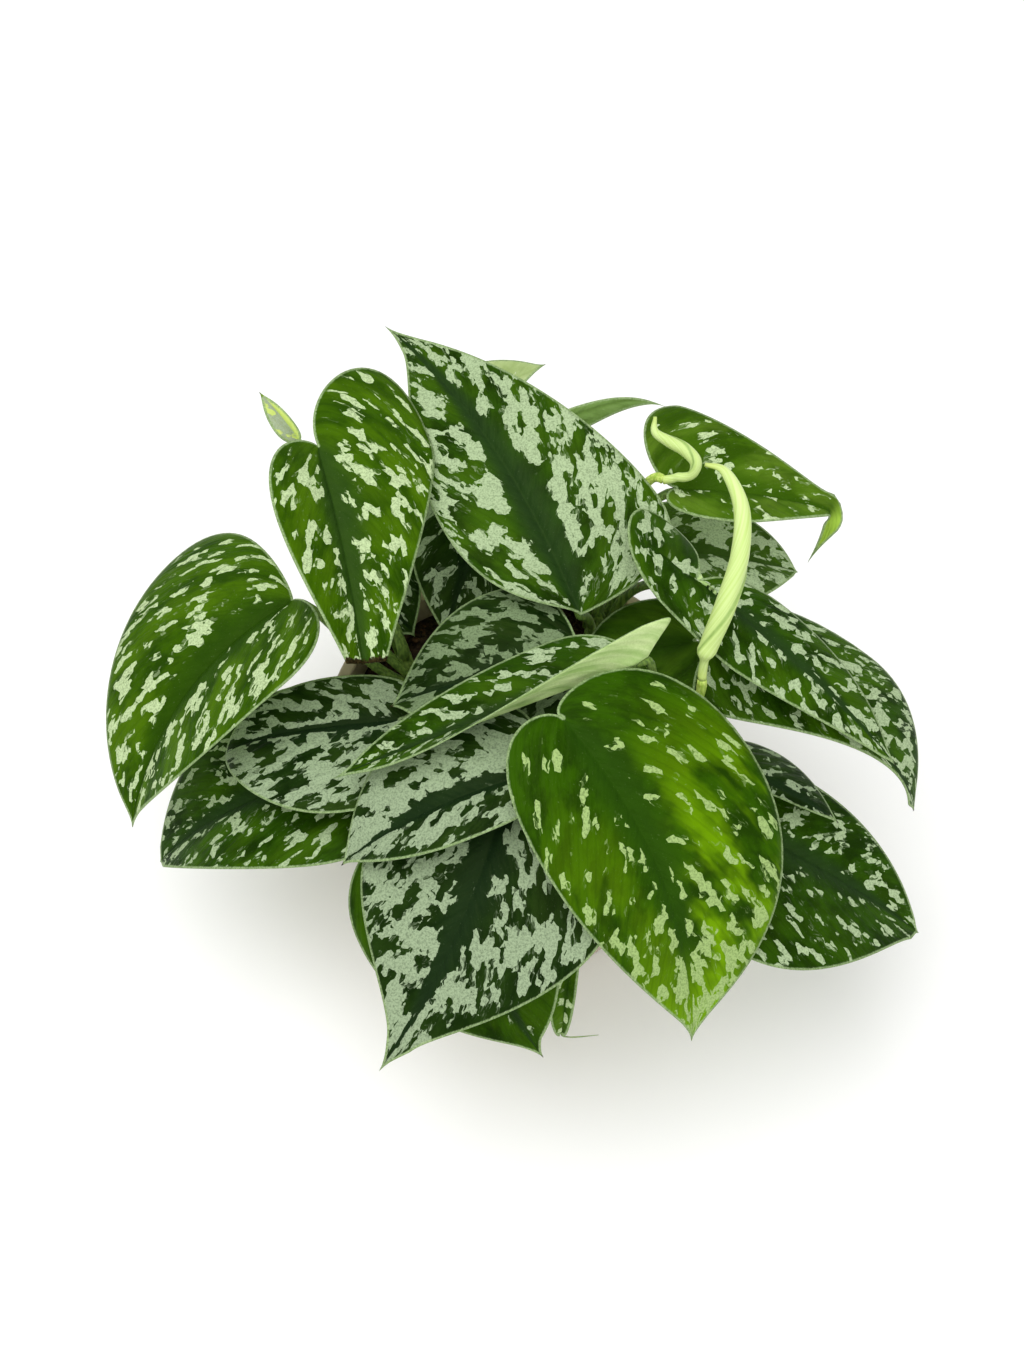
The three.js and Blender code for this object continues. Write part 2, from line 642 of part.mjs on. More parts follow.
function pot() {
  const collar = POT_HEIGHT - COLLAR_HEIGHT;
  const inner = POT_RIM_R - COLLAR_STEP - POT_WALL;
  const profile = [
    [0, 0],
    [POT_BASE_R - 1.2, 0],
    [POT_BASE_R, 1.2],
    [potRadius(collar) - 0.2, collar - 0.2],
    [POT_RIM_R - 0.8, collar],
    [POT_RIM_R, collar + 0.9],
    [POT_RIM_R, POT_HEIGHT - 1.4],
    [POT_RIM_R - 1.2, POT_HEIGHT],
    [inner + 0.6, POT_HEIGHT],
    [inner, POT_HEIGHT - 0.8],
    [inner, collar],
    [potRadius(POT_FLOOR) - POT_WALL, POT_FLOOR],
    [0, POT_FLOOR],
  ];
  let body = solid(turned(profile, POT_SIDES));
  for (let i = 0; i < DRAIN_HOLES; i++) {
    const a = (2 * Math.PI * i) / DRAIN_HOLES;
    const hole = new THREE.CylinderGeometry(DRAIN_R, DRAIN_R, 3 * POT_FLOOR, 16).rotateX(Math.PI / 2);
    hole.translate(DRAIN_CIRCLE_R * Math.cos(a), DRAIN_CIRCLE_R * Math.sin(a), POT_FLOOR / 2);
    body = body.subtract(solid(hole));
  }
  return asGeometry(body);
}

function soil(stems) {
  const collar = POT_HEIGHT - COLLAR_HEIGHT;
  const wall = POT_WALL + GAP;
  const lump = (r, a) => SOIL_LUMP * Math.sin(5 * a + r) * Math.cos(3 * a - r / 7);
  const lumps = (r, a, z) => (z < SOIL_TOP - 0.5 ? 0 : lump(r, a));
  const profile = [
    [0, POT_FLOOR + GAP],
    [potRadius(POT_FLOOR) - wall - 0.3, POT_FLOOR + GAP],
    [potRadius(collar) - wall, collar - 1],
    [potRadius(collar) - wall - 2, SOIL_TOP],
    ...SOIL_RINGS.map((r) => [r, SOIL_TOP]),
    [0, SOIL_TOP],
  ];
  let body = solid(turned(profile, SOIL_SIDES, lumps));
  for (const stem of stems) body = body.subtract(solid(stem));
  return asGeometry(largest(body));
}

function vine(name, extra = 0) {
  const points = vineCurve(name).getPoints(STALK_STEPS);
  points[0].z -= extra;
  points[points.length - 1].addScaledVector(UP, extra);
  const radii = points.map((p, i) => mix(VINE_R, VINE_TIP_R, i / (points.length - 1)) + extra);
  return tube(points, radii, VINE_SIDES);
}

// ---------- the whole plant in its pot ----------
const plant = new THREE.Group();
plant.name = 'satin_pothos';

function place(name, geometry, material) {
  const mesh = new THREE.Mesh(geometry, material);
  mesh.name = name;
  plant.add(mesh);
}

function clearOfVine(body, root) {
  if (typeof root[0] !== 'string') return asGeometry(body);
  return asGeometry(largest(body.subtract(solid(vine(root[0], GAP)))));
}

const DEEP_LEAVES = ['leaf_centre', 'leaf_mid_left', 'leaf_front_left_high', 'leaf_front_left',
  'leaf_right_small', 'leaf_under_back', 'leaf_under_clipped'];
const LEAF_PAINT = { leaf_front_right: BRIGHT_GREEN, leaf_old: VINE_GREEN, shoot_left: LIME };
for (const name of DEEP_LEAVES) LEAF_PAINT[name] = DEEP_GREEN;

const soilHoles = [];
for (const [name, given] of Object.entries({ ...LEAVES, shoot_left: HALF_OPEN_SHOOT })) {
  const leaf = { ...LEAF_DEFAULTS, ...given };
  const rib = midrib(leaf);
  const body = solid(blade(leaf, rib)).add(solid(petiole(leaf, rib)));
  place(name, clearOfVine(body, leaf.petiole[0]), LEAF_PAINT[name] ?? SATIN_GREEN);
  if (typeof leaf.petiole[0][0] !== 'string') soilHoles.push(petiole(leaf, rib, GAP));
}
for (const [name, shoot] of Object.entries(ROLLED_SHOOTS)) {
  place(name, asGeometry(solid(rolledShoot(shoot))), LIME);
  soilHoles.push(rolledShoot(shoot, GAP));
}
for (const name of Object.keys(VINES)) {
  place(name, vine(name), VINE_GREEN);
  soilHoles.push(vine(name, GAP));
}
place('soil', soil(soilHoles), POTTING_MIX);
place('pot', pot(), POT_PLASTIC);

export default plant;
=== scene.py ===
"""The look of a satin pothos in its nursery pot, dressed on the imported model.

Plant sizes are in millimetres, with the same values as the model's source. Meshes are made in metres.
"""
import json
import math
import random
from statistics import NormalDist

import bpy
import numpy as np
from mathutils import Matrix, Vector


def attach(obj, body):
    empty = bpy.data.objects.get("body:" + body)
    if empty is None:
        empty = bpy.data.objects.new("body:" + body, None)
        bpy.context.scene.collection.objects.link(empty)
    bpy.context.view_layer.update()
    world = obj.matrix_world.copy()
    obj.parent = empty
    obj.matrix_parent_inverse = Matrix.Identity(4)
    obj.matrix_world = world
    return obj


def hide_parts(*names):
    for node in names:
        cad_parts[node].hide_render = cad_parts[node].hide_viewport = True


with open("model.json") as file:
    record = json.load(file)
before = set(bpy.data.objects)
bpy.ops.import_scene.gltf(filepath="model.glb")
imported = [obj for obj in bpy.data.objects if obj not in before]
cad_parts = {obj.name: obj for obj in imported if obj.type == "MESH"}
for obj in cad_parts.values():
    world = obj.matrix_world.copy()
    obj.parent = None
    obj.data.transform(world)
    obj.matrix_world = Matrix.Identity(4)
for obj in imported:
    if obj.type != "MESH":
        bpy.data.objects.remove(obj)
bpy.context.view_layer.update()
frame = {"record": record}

MM = 0.001
BODY = "root"

# ---------- driving sizes, in millimetres ----------
POT_RIM_R = 60
POT_HEIGHT = 92
POT_BASE_R = 42
POT_WALL = 1.5
POT_FLOOR = 2.2
COLLAR_HEIGHT = 9
COLLAR_STEP = 2.6
DRAIN_HOLES = 6
DRAIN_R = 4
DRAIN_CIRCLE_R = 28
SOIL_TOP = 84
VINE_R = 2.6
VINE_TIP_R = 1.9
VINE_HOLE_DEPTH = 18
PETIOLE_R = 1.7
PETIOLE_TOP_R = 1.3
BLADE_THICK = 0.55
MARGIN_THICK = 0.3

# ---------- vines: root, soil level and top ----------
VINES = {
    "vine_left": ((-24, 10), (-30, 14), (-36, 20, 101)),
    "vine_back_left": ((-6, 26), (-10, 32), (-15, 39, 99)),
    "vine_back_right": ((14, 22), (18, 27), (24, 35, 101)),
    "vine_centre": ((2, -4), (4, -8), (9, -11, 101)),
    "vine_right": ((24, 6), (29, 7), (36, 6, 98)),
    "vine_front_right": ((18, -14), (23, -16), (31, -19, 100)),
    "vine_front_left": ((-14, -8), (-17, -10), (-22, -13, 99)),
}

# ---------- leaves: pairs are the left and right half, seen from above looking from base to tip ----------
# base and tip: ends of the midrib. width: half widths. cut: share of the length that is left.
# arch, hook, lean and bend curve the midrib; turn: where the right half points past the bend.
# roll, fold, fold_tip and camber tilt and round the halves; lift: how far a lobe curls up.
# lobe, inner and swell shape the lobe; widest, full, point and sharp the side; tail and tail_width the tip.
# petiole: where it starts (a vine and the share of its height, or a place in the soil) and its two handles.
LEAF_DEFAULTS = dict(
    roll=0, arch=0.06, hook=0, lean=(0, 0), bend=None, fold=(15, 15), fold_tip=None, camber=(25, 25),
    lobe=(0.12, 0.12), inner=(0.05, 0.05), swell=(1.9, 1.9), widest=(0.32, 0.32), full=(0.45, 0.45),
    point=(0.83, 0.83), sharp=(0.36, 0.36), tail=0.07, tail_width=0.11, turn=None, cut=1, lift=0,
)
LEAVES = {
    "leaf_left": dict(
        base=(-68, 24, 125), tip=(-117, -30, 83), width=(31, 45), roll=18, fold=(18, 18), camber=(20, 35),
        arch=0.12, lean=(5, 5), lobe=(0.05, 0.03), inner=(0.05, 0.1), widest=(0.2, 0.17), full=(0.55, 0.3),
        petiole=(("vine_left", 0.35), (-48, 14, 96), (-60, 30, 116)),
    ),
    "leaf_clipped": dict(
        base=(-60, 58, 155), tip=(-43, -22, 130), width=(35, 21), roll=-20, fold=(18, 25), cut=0.8,
        lobe=(0.28, 0.02), inner=(-0.08, 0.05), widest=(0.05, 0.25), full=(0.15, 0.35), sharp=(0.04, 0.16),
        petiole=(("vine_left", 0.95), (-38, 22, 125), (-62, 58, 138)),
    ),
    "leaf_back": dict(
        base=(17, 15, 130), tip=(-43, 118, 140), width=(26, 36), roll=-12, arch=0.08, lean=(7, 7),
        lobe=(-0.04, 0), widest=(0.35, 0.15), full=(0.38, 0.15), point=(0.78, 0.75), sharp=(0.24, 0.3),
        tail=0.12,
        petiole=((22, 21), (24, 30, 104), (20, 24, 118)),
    ),
    "leaf_rear_left": dict(
        base=(-30, 92, 115), tip=(8, 124, 115), width=(15.5, 7), sharp=(0.4, 0.25),
        petiole=(("vine_back_left", 0.95), (-22, 50, 104), (-34, 86, 104)),
    ),
    "leaf_rear_slim": dict(
        base=(0, 88, 124), tip=(46, 102, 120), width=(2.5, 5.5), roll=40, fold=(5, 5), lean=(-1, -9),
        full=(0.2, 0.2), sharp=(0.28, 0.28), tail=0.1,
        petiole=((10, 34), (12, 44, 113), (-4, 84, 111)),
    ),
    "leaf_hooked_tip": dict(
        base=(46, 54, 140), bend=(92, 52, 132), tip=(88, 46, 113), width=(31, 12), lobe=(0.13, 0.06),
        widest=(0, 0.25), full=(0.08, 0.2), point=(0.6, 0.7), sharp=(0.15, 0.25), tail=0.3,
        tail_width=0.19, turn=(-1, 0, 0),
        petiole=(("vine_back_right", 0.95), (24, 44, 120), (36, 54, 136)),
    ),
    "leaf_back_right": dict(
        base=(38, 47, 118), tip=(86, 48, 105), width=(19, 21), lobe=(0.12, 0.02), sharp=(0.6, 0.45),
        tail=0.04,
        petiole=(("vine_back_right", 0.45), (30, 42, 100), (32, 46, 108)),
    ),
    "leaf_right_high": dict(
        base=(50, 17.5, 144.5), tip=(109, -23, 108), width=(14, 15.5), roll=12, fold=(-15, 25),
        fold_tip=(-15, -5), arch=0.1, lobe=(-0.02, 0.14), inner=(0.05, -2.6), swell=(1.9, 5.5), lift=12,
        widest=(0.35, 0.25), full=(0.5, 0.2), sharp=(0.42, 0.22),
        petiole=((26, 32), (25, 42, 130), (46, 20, 132)),
    ),
    "leaf_right": dict(
        base=(56, 12, 122), tip=(118, -25, 84), width=(28, 21), roll=4, fold=(-5, 5), arch=0.16, hook=0.3,
        lobe=(0.12, 0), widest=(0.5, 0.1), full=(0.45, 0.2), point=(0.83, 0.7), sharp=(0.52, -0.28),
        petiole=(("vine_right", 0.95), (50, -12, 100), (62, 0, 111)),
    ),
    "leaf_front_right": dict(
        base=(11, -29, 145), tip=(48, -97, 80), width=(40, 29), fold=(8, 8), camber=(20, 20), arch=0.12,
        lean=(-8, -8), lobe=(0.07, 0.07), inner=(-0.15, 0.05), widest=(0.38, 0.3), full=(0.5, 0.46),
        petiole=((12, -24), (16, -24, 112), (14, -25, 132)),
    ),
    "leaf_low_right": dict(
        base=(50, -33, 102), tip=(120, -55, 62), width=(24, 39), sharp=(0.5, 0.3), tail=0.04,
        petiole=(("vine_front_right", 0.4), (38, -26, 94), (44, -31, 95)),
    ),
    "leaf_right_small": dict(
        base=(61, -27, 113), tip=(93, -35, 95), width=(16, 3), fold=(-10, -45),
        petiole=((36, -10), (36, -11, 116), (53, -21, 113)),
    ),
    "leaf_centre": dict(
        base=(17, 4, 126), tip=(-39, -6, 113), width=(28, 27), lobe=(0.12, 0),
        petiole=((14, -2), (17, -1, 104), (16, 4, 114)),
    ),
    "leaf_half_open": dict(
        base=(35, -9, 145), tip=(-54, -33, 118), width=(11, 16), fold=(112, 10), fold_tip=(5, 10),
        camber=(0, 20), arch=0.07, lean=(-5, -4), lobe=(0.085, -0.03), inner=(1, 0.05),
        widest=(0.05, 0.25), full=(0.6, 0.4), sharp=(0.4, 0.45),
        petiole=(("vine_front_right", 0.95), (36, -16, 118), (40, -8, 134)),
    ),
    "leaf_mid_left": dict(
        base=(-36, -8, 109), tip=(-89, -12, 95), width=(31, 16), camber=(20, 15), hook=0.4,
        sharp=(0.6, 0.6), tail=0.03,
        petiole=(("vine_front_left", 0.95), (-26, -10, 100), (-31, -7, 100)),
    ),
    "leaf_low_left": dict(
        base=(-40, -16, 97), tip=(-112, -30, 60), width=(30, 33), arch=0.14, lobe=(0.02, 0.12),
        widest=(0.22, 0.36), full=(0.3, 0.45), sharp=(0.36, 0.5), tail=0.03,
        petiole=(("vine_front_left", 0.4), (-28, -14, 90), (-35, -15, 90)),
    ),
    "leaf_front_left_high": dict(
        base=(1, -39, 131), tip=(-52, -52, 101), width=(14, 28), arch=0.1,
        petiole=(("vine_centre", 0.95), (10, -16, 124), (8, -32, 130)),
    ),
    "leaf_front_left": dict(
        base=(-4, -37, 122), tip=(-41, -103, 72), width=(40, 35), roll=6, fold=(4, 8), camber=(15, 15),
        lean=(-8, -8), widest=(0.3, 0.35), full=(0.25, 0.38), point=(0.75, 0.77), sharp=(0.2, 0.25),
        tail=0.12,
        petiole=(("vine_centre", 0.4), (0, -18, 106), (-2, -31, 112)),
    ),
    "leaf_front_under": dict(
        base=(-30, -36, 107), tip=(6, -98, 70), width=(25, 34), roll=32, fold=(5, 0), camber=(10, 10),
        arch=0.1, lobe=(0.02, 0), full=(0.55, 0.55), sharp=(0.6, 0.36),
        petiole=((-20, -26), (-22, -28, 98), (-28, -32, 97)),
    ),
    "leaf_front_small": dict(
        base=(15, -64, 84), bend=(12, -84, 54), tip=(23, -83, 50), width=(3, 5), arch=0.1, tail=0.25,
        petiole=((24, -34), (22, -46, 101), (15, -68, 103)),
    ),
    "leaf_under_back": dict(
        base=(-9, 71, 118), tip=(-24, 24, 103), width=(20, 20),
        petiole=((-4, 38), (-6, 44, 108), (-6, 74, 104)),
    ),
    "leaf_under_clipped": dict(
        base=(-54, 48, 112), tip=(-33, 28, 99), width=(16, 18),
        petiole=((-34, 22), (-36, 26, 110), (-53, 45, 100)),
    ),
    "leaf_old": dict(
        base=(52, 18, 112), tip=(14, 10, 106), width=(20, 17),
        petiole=(("vine_right", 0.45), (44, 14, 94), (52, 18, 98)),
    ),
    "leaf_rear_right": dict(
        base=(24, 52, 100), tip=(16, 110, 74), width=(16, 15), lobe=(0.12, 0.02),
        petiole=((20, 40), (21, 42, 94), (23, 48, 94)),
    ),
    "leaf_rear_low": dict(
        base=(-36, 54, 98), tip=(-68, 94, 74), width=(16, 22), lobe=(0.06, 0),
        petiole=(("vine_back_left", 0.45), (-22, 42, 99), (-32, 49, 96)),
    ),
    "shoot_left": dict(
        base=(-66, 64, 150), tip=(-78, 76, 158), width=(5.5, 2), fold=(30, 50), camber=(30, 80),
        lobe=(0, 0),
        petiole=(("vine_left", 0.6), (-52, 18, 110), (-66, 54, 138)),
    ),
}
ROLLED_SHOOTS = {
    "shoot_right": dict(
        petiole=((42, -8), (45, -8, 104), (52, -13, 122)),
        roll=((51, -10, 135), (51, -9, 137), (52, -6, 145), (56, 0, 157), (60, 10, 168), (60, 21, 176),
              (55, 29, 181), (50, 30, 182)),
        radii=(2.5, 2.8, 3, 2.7, 2.2, 1.3, 0.4),
    ),
    "shoot_back": dict(
        petiole=((30, 38), (27, 50, 118), (36, 60, 146)),
        roll=((42, 54, 144), (50, 53, 148), (51, 55, 151), (48, 58, 153), (43, 60, 155), (39, 62, 157),
              (39, 65, 160)),
        radii=(1.4, 1.9, 2, 1.8, 1.2, 0.4),
    ),
}


# ---------- colours of the blades, as sRGB ----------
def palette(*colours):
    """Dark, mid and light green, the green beside the midrib, and silver. Where the green beside the midrib
    is greyer than the others, the grey is a painted sheen.
    """
    return dict(zip(("dark", "mid", "light", "rib", "silver"), colours))


SATIN = palette((18, 42, 0), (34, 66, 2), (62, 98, 6), (32, 54, 24), (166, 186, 144))
# darker greens and a duller silver: painted shade, for blades that lie under others
IN_SHADE = palette((10, 30, 4), (24, 46, 10), (42, 66, 16), (22, 40, 20), (150, 168, 134))
FRESH = palette((30, 60, 0), (48, 82, 0), (78, 114, 6), (34, 64, 4), (184, 204, 154))
BRIGHT = palette((24, 52, 0), (40, 76, 0), (106, 150, 2), (32, 64, 6), (154, 180, 112))
HOOKED = palette((42, 72, 2), (58, 92, 6), (158, 194, 70), (46, 78, 6), (184, 204, 154))
SHADED = palette((34, 60, 8), (50, 82, 12), (76, 108, 20), (36, 64, 10), (150, 170, 108))
SLIM = palette((92, 120, 56), (108, 138, 72), (130, 158, 92), (90, 118, 54), (176, 196, 148))
PALE = palette((146, 166, 104), (166, 184, 126), (182, 198, 142), (150, 170, 108), (190, 204, 160))
YOUNG = palette((176, 196, 96), (190, 208, 112), (204, 220, 128), (180, 200, 100), (158, 172, 144))
# the shaded colours with a darker silver still: more painted shade, for a blade deep in the shade of others
IN_DEEP_SHADE = dict(IN_SHADE, silver=(122, 142, 104))
FROSTED = dict(SATIN, dark=(42, 68, 12), mid=(58, 86, 24), rib=(48, 74, 24))
CLIPPED = dict(FRESH, rib=(38, 64, 20))

# ---------- pattern of each blade: pairs are its halves, places are shares of its length ----------
# cover: share of silver; blotch: size of its blotches against BLOTCH; tip: how much more silver shows
# towards the tip, from tip_from on; plain_from: where silver ends;
# band: how far the plain band beside the midrib reaches, as a share of the half;
# glow: how much light green shows, times base_glow at the base;
# pale_from and pale: where the tip turns pale, and how much; brown: where it is dry, in the colours of husk.
LOOK_DEFAULTS = dict(
    colours=SATIN, cover=(0.35, 0.35), blotch=0.85, tip=0.02, tip_from=0.6, plain_from=1.1, band=0.2,
    glow=(0.5, 0.5), base_glow=1.0, pale_from=(0.78, 1.0), pale=0.0, brown=None,
    husk=((20, 17, 8), (56, 46, 24)),
)
LOOKS = {
    "leaf_left": dict(colours=FRESH, cover=(0.31, 0.25), blotch=0.75),
    "leaf_clipped": dict(colours=CLIPPED, cover=(0.32, 0.3), blotch=0.65, brown=0.978),
    "leaf_back": dict(cover=(0.5, 0.54), blotch=0.9, band=0.3),
    "leaf_rear_left": dict(colours=PALE, cover=(0.1, 0.1)),
    "leaf_rear_slim": dict(colours=SLIM, cover=(0.02, 0.02)),
    "leaf_hooked_tip": dict(
        colours=HOOKED, cover=(0.16, 0.22), blotch=0.7, plain_from=0.72, band=0.08, glow=(0.12, 0.12),
        pale_from=(0.7, 0.76), pale=0.8,
    ),
    "leaf_back_right": dict(colours=FROSTED, cover=(0.52, 0.55)),
    "leaf_right_high": dict(cover=(0.34, 0.36), blotch=0.62, band=0.12, brown=0.985),
    "leaf_right": dict(cover=(0.36, 0.3), blotch=0.6, tip=0.06, brown=0.985),
    "leaf_front_right": dict(
        colours=BRIGHT, cover=(0.14, 0.12), blotch=0.72, tip=0.17, tip_from=0.35, band=0.12, glow=(0.9, 0.3),
        base_glow=0.0, pale_from=(0.66, 0.97), pale=0.85,
    ),
    "leaf_low_right": dict(cover=(0.24, 0.22), blotch=0.7, glow=(0.2, 0.2)),
    "leaf_right_small": dict(colours=IN_SHADE, cover=(0.3, 0.3), blotch=0.6, brown=0.97),
    "leaf_centre": dict(colours=IN_DEEP_SHADE, cover=(0.54, 0.44), blotch=0.8, tip=0.08, band=0.1, brown=0.975),
    "leaf_half_open": dict(cover=(0.28, 0.28), blotch=0.62),
    "leaf_mid_left": dict(colours=IN_SHADE, cover=(0.56, 0.46), blotch=0.75, tip=0.04, band=0.12),
    "leaf_low_left": dict(cover=(0.26, 0.26), blotch=0.62),
    "leaf_front_left_high": dict(colours=IN_SHADE, cover=(0.54, 0.66), blotch=0.75, tip=0.1, brown=0.975),
    "leaf_front_left": dict(colours=IN_SHADE, cover=(0.5, 0.54), tip=0.1, glow=(0.2, 0.2)),
    "leaf_front_under": dict(cover=(0.03, 0.03), brown=0.985),
    "leaf_front_small": dict(colours=FRESH, cover=(0.3, 0.3), blotch=0.6),
    "leaf_under_back": dict(colours=IN_SHADE, cover=(0.3, 0.3)),
    "leaf_under_clipped": dict(colours=IN_SHADE, cover=(0.3, 0.3)),
    "leaf_old": dict(colours=SHADED, cover=(0.02, 0.02)),
    "shoot_left": dict(
        colours=YOUNG, cover=(0.9999, 0.0001), band=0.02, brown=0.9, husk=((66, 92, 24), (120, 150, 48)),
    ),
}


# ---------- small helpers ----------
def linear(colour):
    """An sRGB colour of 0 to 255 as linear RGBA."""
    shares = [c / 255 for c in colour]
    return tuple(c / 12.92 if c <= 0.04045 else ((c + 0.055) / 1.055) ** 2.4 for c in shares) + (1,)


def unit(v):
    return v / np.maximum(np.linalg.norm(v, axis=-1, keepdims=True), 1e-12)


def directions(points):
    """Unit directions along a line of points."""
    padded = np.concatenate([points[:1], points, points[-1:]])
    return unit(padded[2:] - padded[:-2])


def cubic(points, t):
    """A cubic curve of four numbers or points, at one t or an array of them."""
    a, b, c, d = (np.asarray(p, float) for p in points)
    t = np.asarray(t, float)
    if a.ndim and t.ndim:
        t = t[..., None]
    s = 1 - t
    return a * s**3 + 3 * b * s * s * t + 3 * c * s * t * t + d * t**3


def smooth(low, high, x):
    t = np.clip((x - low) / (high - low), 0, 1)
    return t * t * (3 - 2 * t)


def around(count):
    """The angles of that many points round a circle."""
    return np.linspace(0, 2 * math.pi, count, endpoint=False)


def add_object(name, data):
    thing = bpy.data.objects.new(name, data)
    bpy.context.scene.collection.objects.link(thing)
    return thing


class Nodes:
    """One material, and short ways to add nodes to it."""

    def __init__(self, name):
        self.material = bpy.data.materials.new(name)
        self.material.use_nodes = True
        self.tree = self.material.node_tree
        self.tree.nodes.clear()

    def put(self, socket, value):
        """Links a socket to another one, or sets a value on it."""
        if isinstance(value, bpy.types.NodeSocket):
            self.tree.links.new(value, socket)
        else:
            socket.default_value = value

    def add(self, kind, inputs=None, out=0, **settings):
        node = self.tree.nodes.new("ShaderNode" + kind)
        for key, value in settings.items():
            setattr(node, key, value)
        for key, value in (inputs or {}).items():
            self.put(node.inputs[key], value)
        return node.outputs[out]

    def math(self, operation, a, b=0.0):
        return self.add("Math", {0: a, 1: b}, operation=operation)

    def times(self, a, b):
        return self.math("MULTIPLY", a, b)

    def plus(self, total, *terms):
        for term in terms:
            total = self.math("ADD", total, term)
        return total

    def minus(self, a, b):
        return self.math("SUBTRACT", a, b)

    def vector(self, x, y, z=0.0):
        return self.add("CombineXYZ", {0: x, 1: y, 2: z})

    def stretch(self, vector, scale):
        return self.add("VectorMath", {0: vector, 1: scale}, operation="MULTIPLY")

    def shift(self, a, b):
        return self.add("VectorMath", {0: a, 1: b}, operation="ADD")

    def parts(self, vector):
        node = self.tree.nodes.new("ShaderNodeSeparateXYZ")
        self.tree.links.new(vector, node.inputs[0])
        return tuple(node.outputs)

    def ramp(self, value, low, high, start=0.0, end=1.0):
        """start below low, end above high, and smooth between them."""
        inputs = {"Value": value, "From Min": low, "From Max": high, "To Min": start, "To Max": end}
        return self.add("MapRange", inputs, interpolation_type="SMOOTHSTEP")

    def mix(self, share, a, b):
        """From a to b by share. Each is a socket, an sRGB colour or a linear RGBA one."""
        node = self.tree.nodes.new("ShaderNodeMix")
        node.data_type = "RGBA"
        for index, value in ((0, share), (6, a), (7, b)):
            if isinstance(value, tuple) and len(value) == 3:
                value = linear(value)
            self.put(node.inputs[index], value)
        return node.outputs[2]

    def noise(self, vector, scale, detail=1.0, roughness=0.5, colour=False):
        """Noise at one scale, or at a scale for each axis."""
        if isinstance(scale, tuple):
            vector, scale = self.stretch(vector, scale), 1.0
        inputs = {"Vector": vector, "Scale": scale, "Detail": detail, "Roughness": roughness}
        return self.add("TexNoise", inputs, out="Color" if colour else "Fac", noise_dimensions="3D")

    def attribute(self, name):
        return self.add("Attribute", out="Vector", attribute_type="GEOMETRY", attribute_name=name)

    def place_mm(self):
        """The point on the object, in millimetres."""
        return self.stretch(self.add("TexCoord", out="Object"), (1 / MM, 1 / MM, 1 / MM))

    def bump(self, height_mm, strength=1.0):
        inputs = {"Height": self.times(height_mm, MM), "Strength": strength, "Distance": 1.0}
        return self.add("Bump", inputs)

    def finish(self, colour, roughness, normal=None, specular=0.5, tint=(1, 1, 1, 1)):
        inputs = {"Base Color": colour, "Roughness": roughness, "Specular IOR Level": specular}
        inputs["Specular Tint"] = tint
        if normal is not None:
            inputs["Normal"] = normal
        output = self.tree.nodes.new("ShaderNodeOutputMaterial")
        self.tree.links.new(self.add("BsdfPrincipled", inputs), output.inputs["Surface"])
        return self.material


# ---------- materials ----------
# sizes of the pattern across and along the veins, in flow units of about 0.7 mm
CELL = (2.8, 3.0)
BLOTCH = (9.5, 14.5)
FINE_CELL = (1.5, 1.7)
FINE_BLOTCH = (4.0, 5.0)
WANDER = (6.0, 4.0, 0.0)
VEIN_PITCH = 5.2

FINE_WEIGHT = 0.3         # how much the fine cells add to the coarse ones
HEIGHT_SPREAD = 0.115     # standard deviation of the blotch noise
LEAF_SHIFT = (37, 11)     # keeps one blade unlike the next
HALF_SHIFT = 57           # keeps the two halves of a blade unlike
DUSK = 0.72               # light of the grain in the silver, as a share of the silver's own
MARGIN_LINE = 0.75        # width of the pale line round the margin, in mm
LEAF_GLOSS = (0.8, 0.95, 0.35, 1)


def bar_for(cover):
    """How high the blotch noise must rise to show silver on that share of the blade."""
    return 0.5 + HEIGHT_SPREAD * NormalDist().inv_cdf(1 - cover)


def cells(s, at, size, blotch):
    """Noise that is level within each small cell, so that its blotches get stepped edges."""
    inputs = {"Vector": s.stretch(at, (1 / size[0], 1 / size[1], 1)), "Scale": 1.0}
    spot = s.add("TexVoronoi", inputs, out="Position", voronoi_dimensions="2D", feature="F1")
    return s.noise(spot, (size[0] / blotch[0], size[1] / blotch[1], 1))


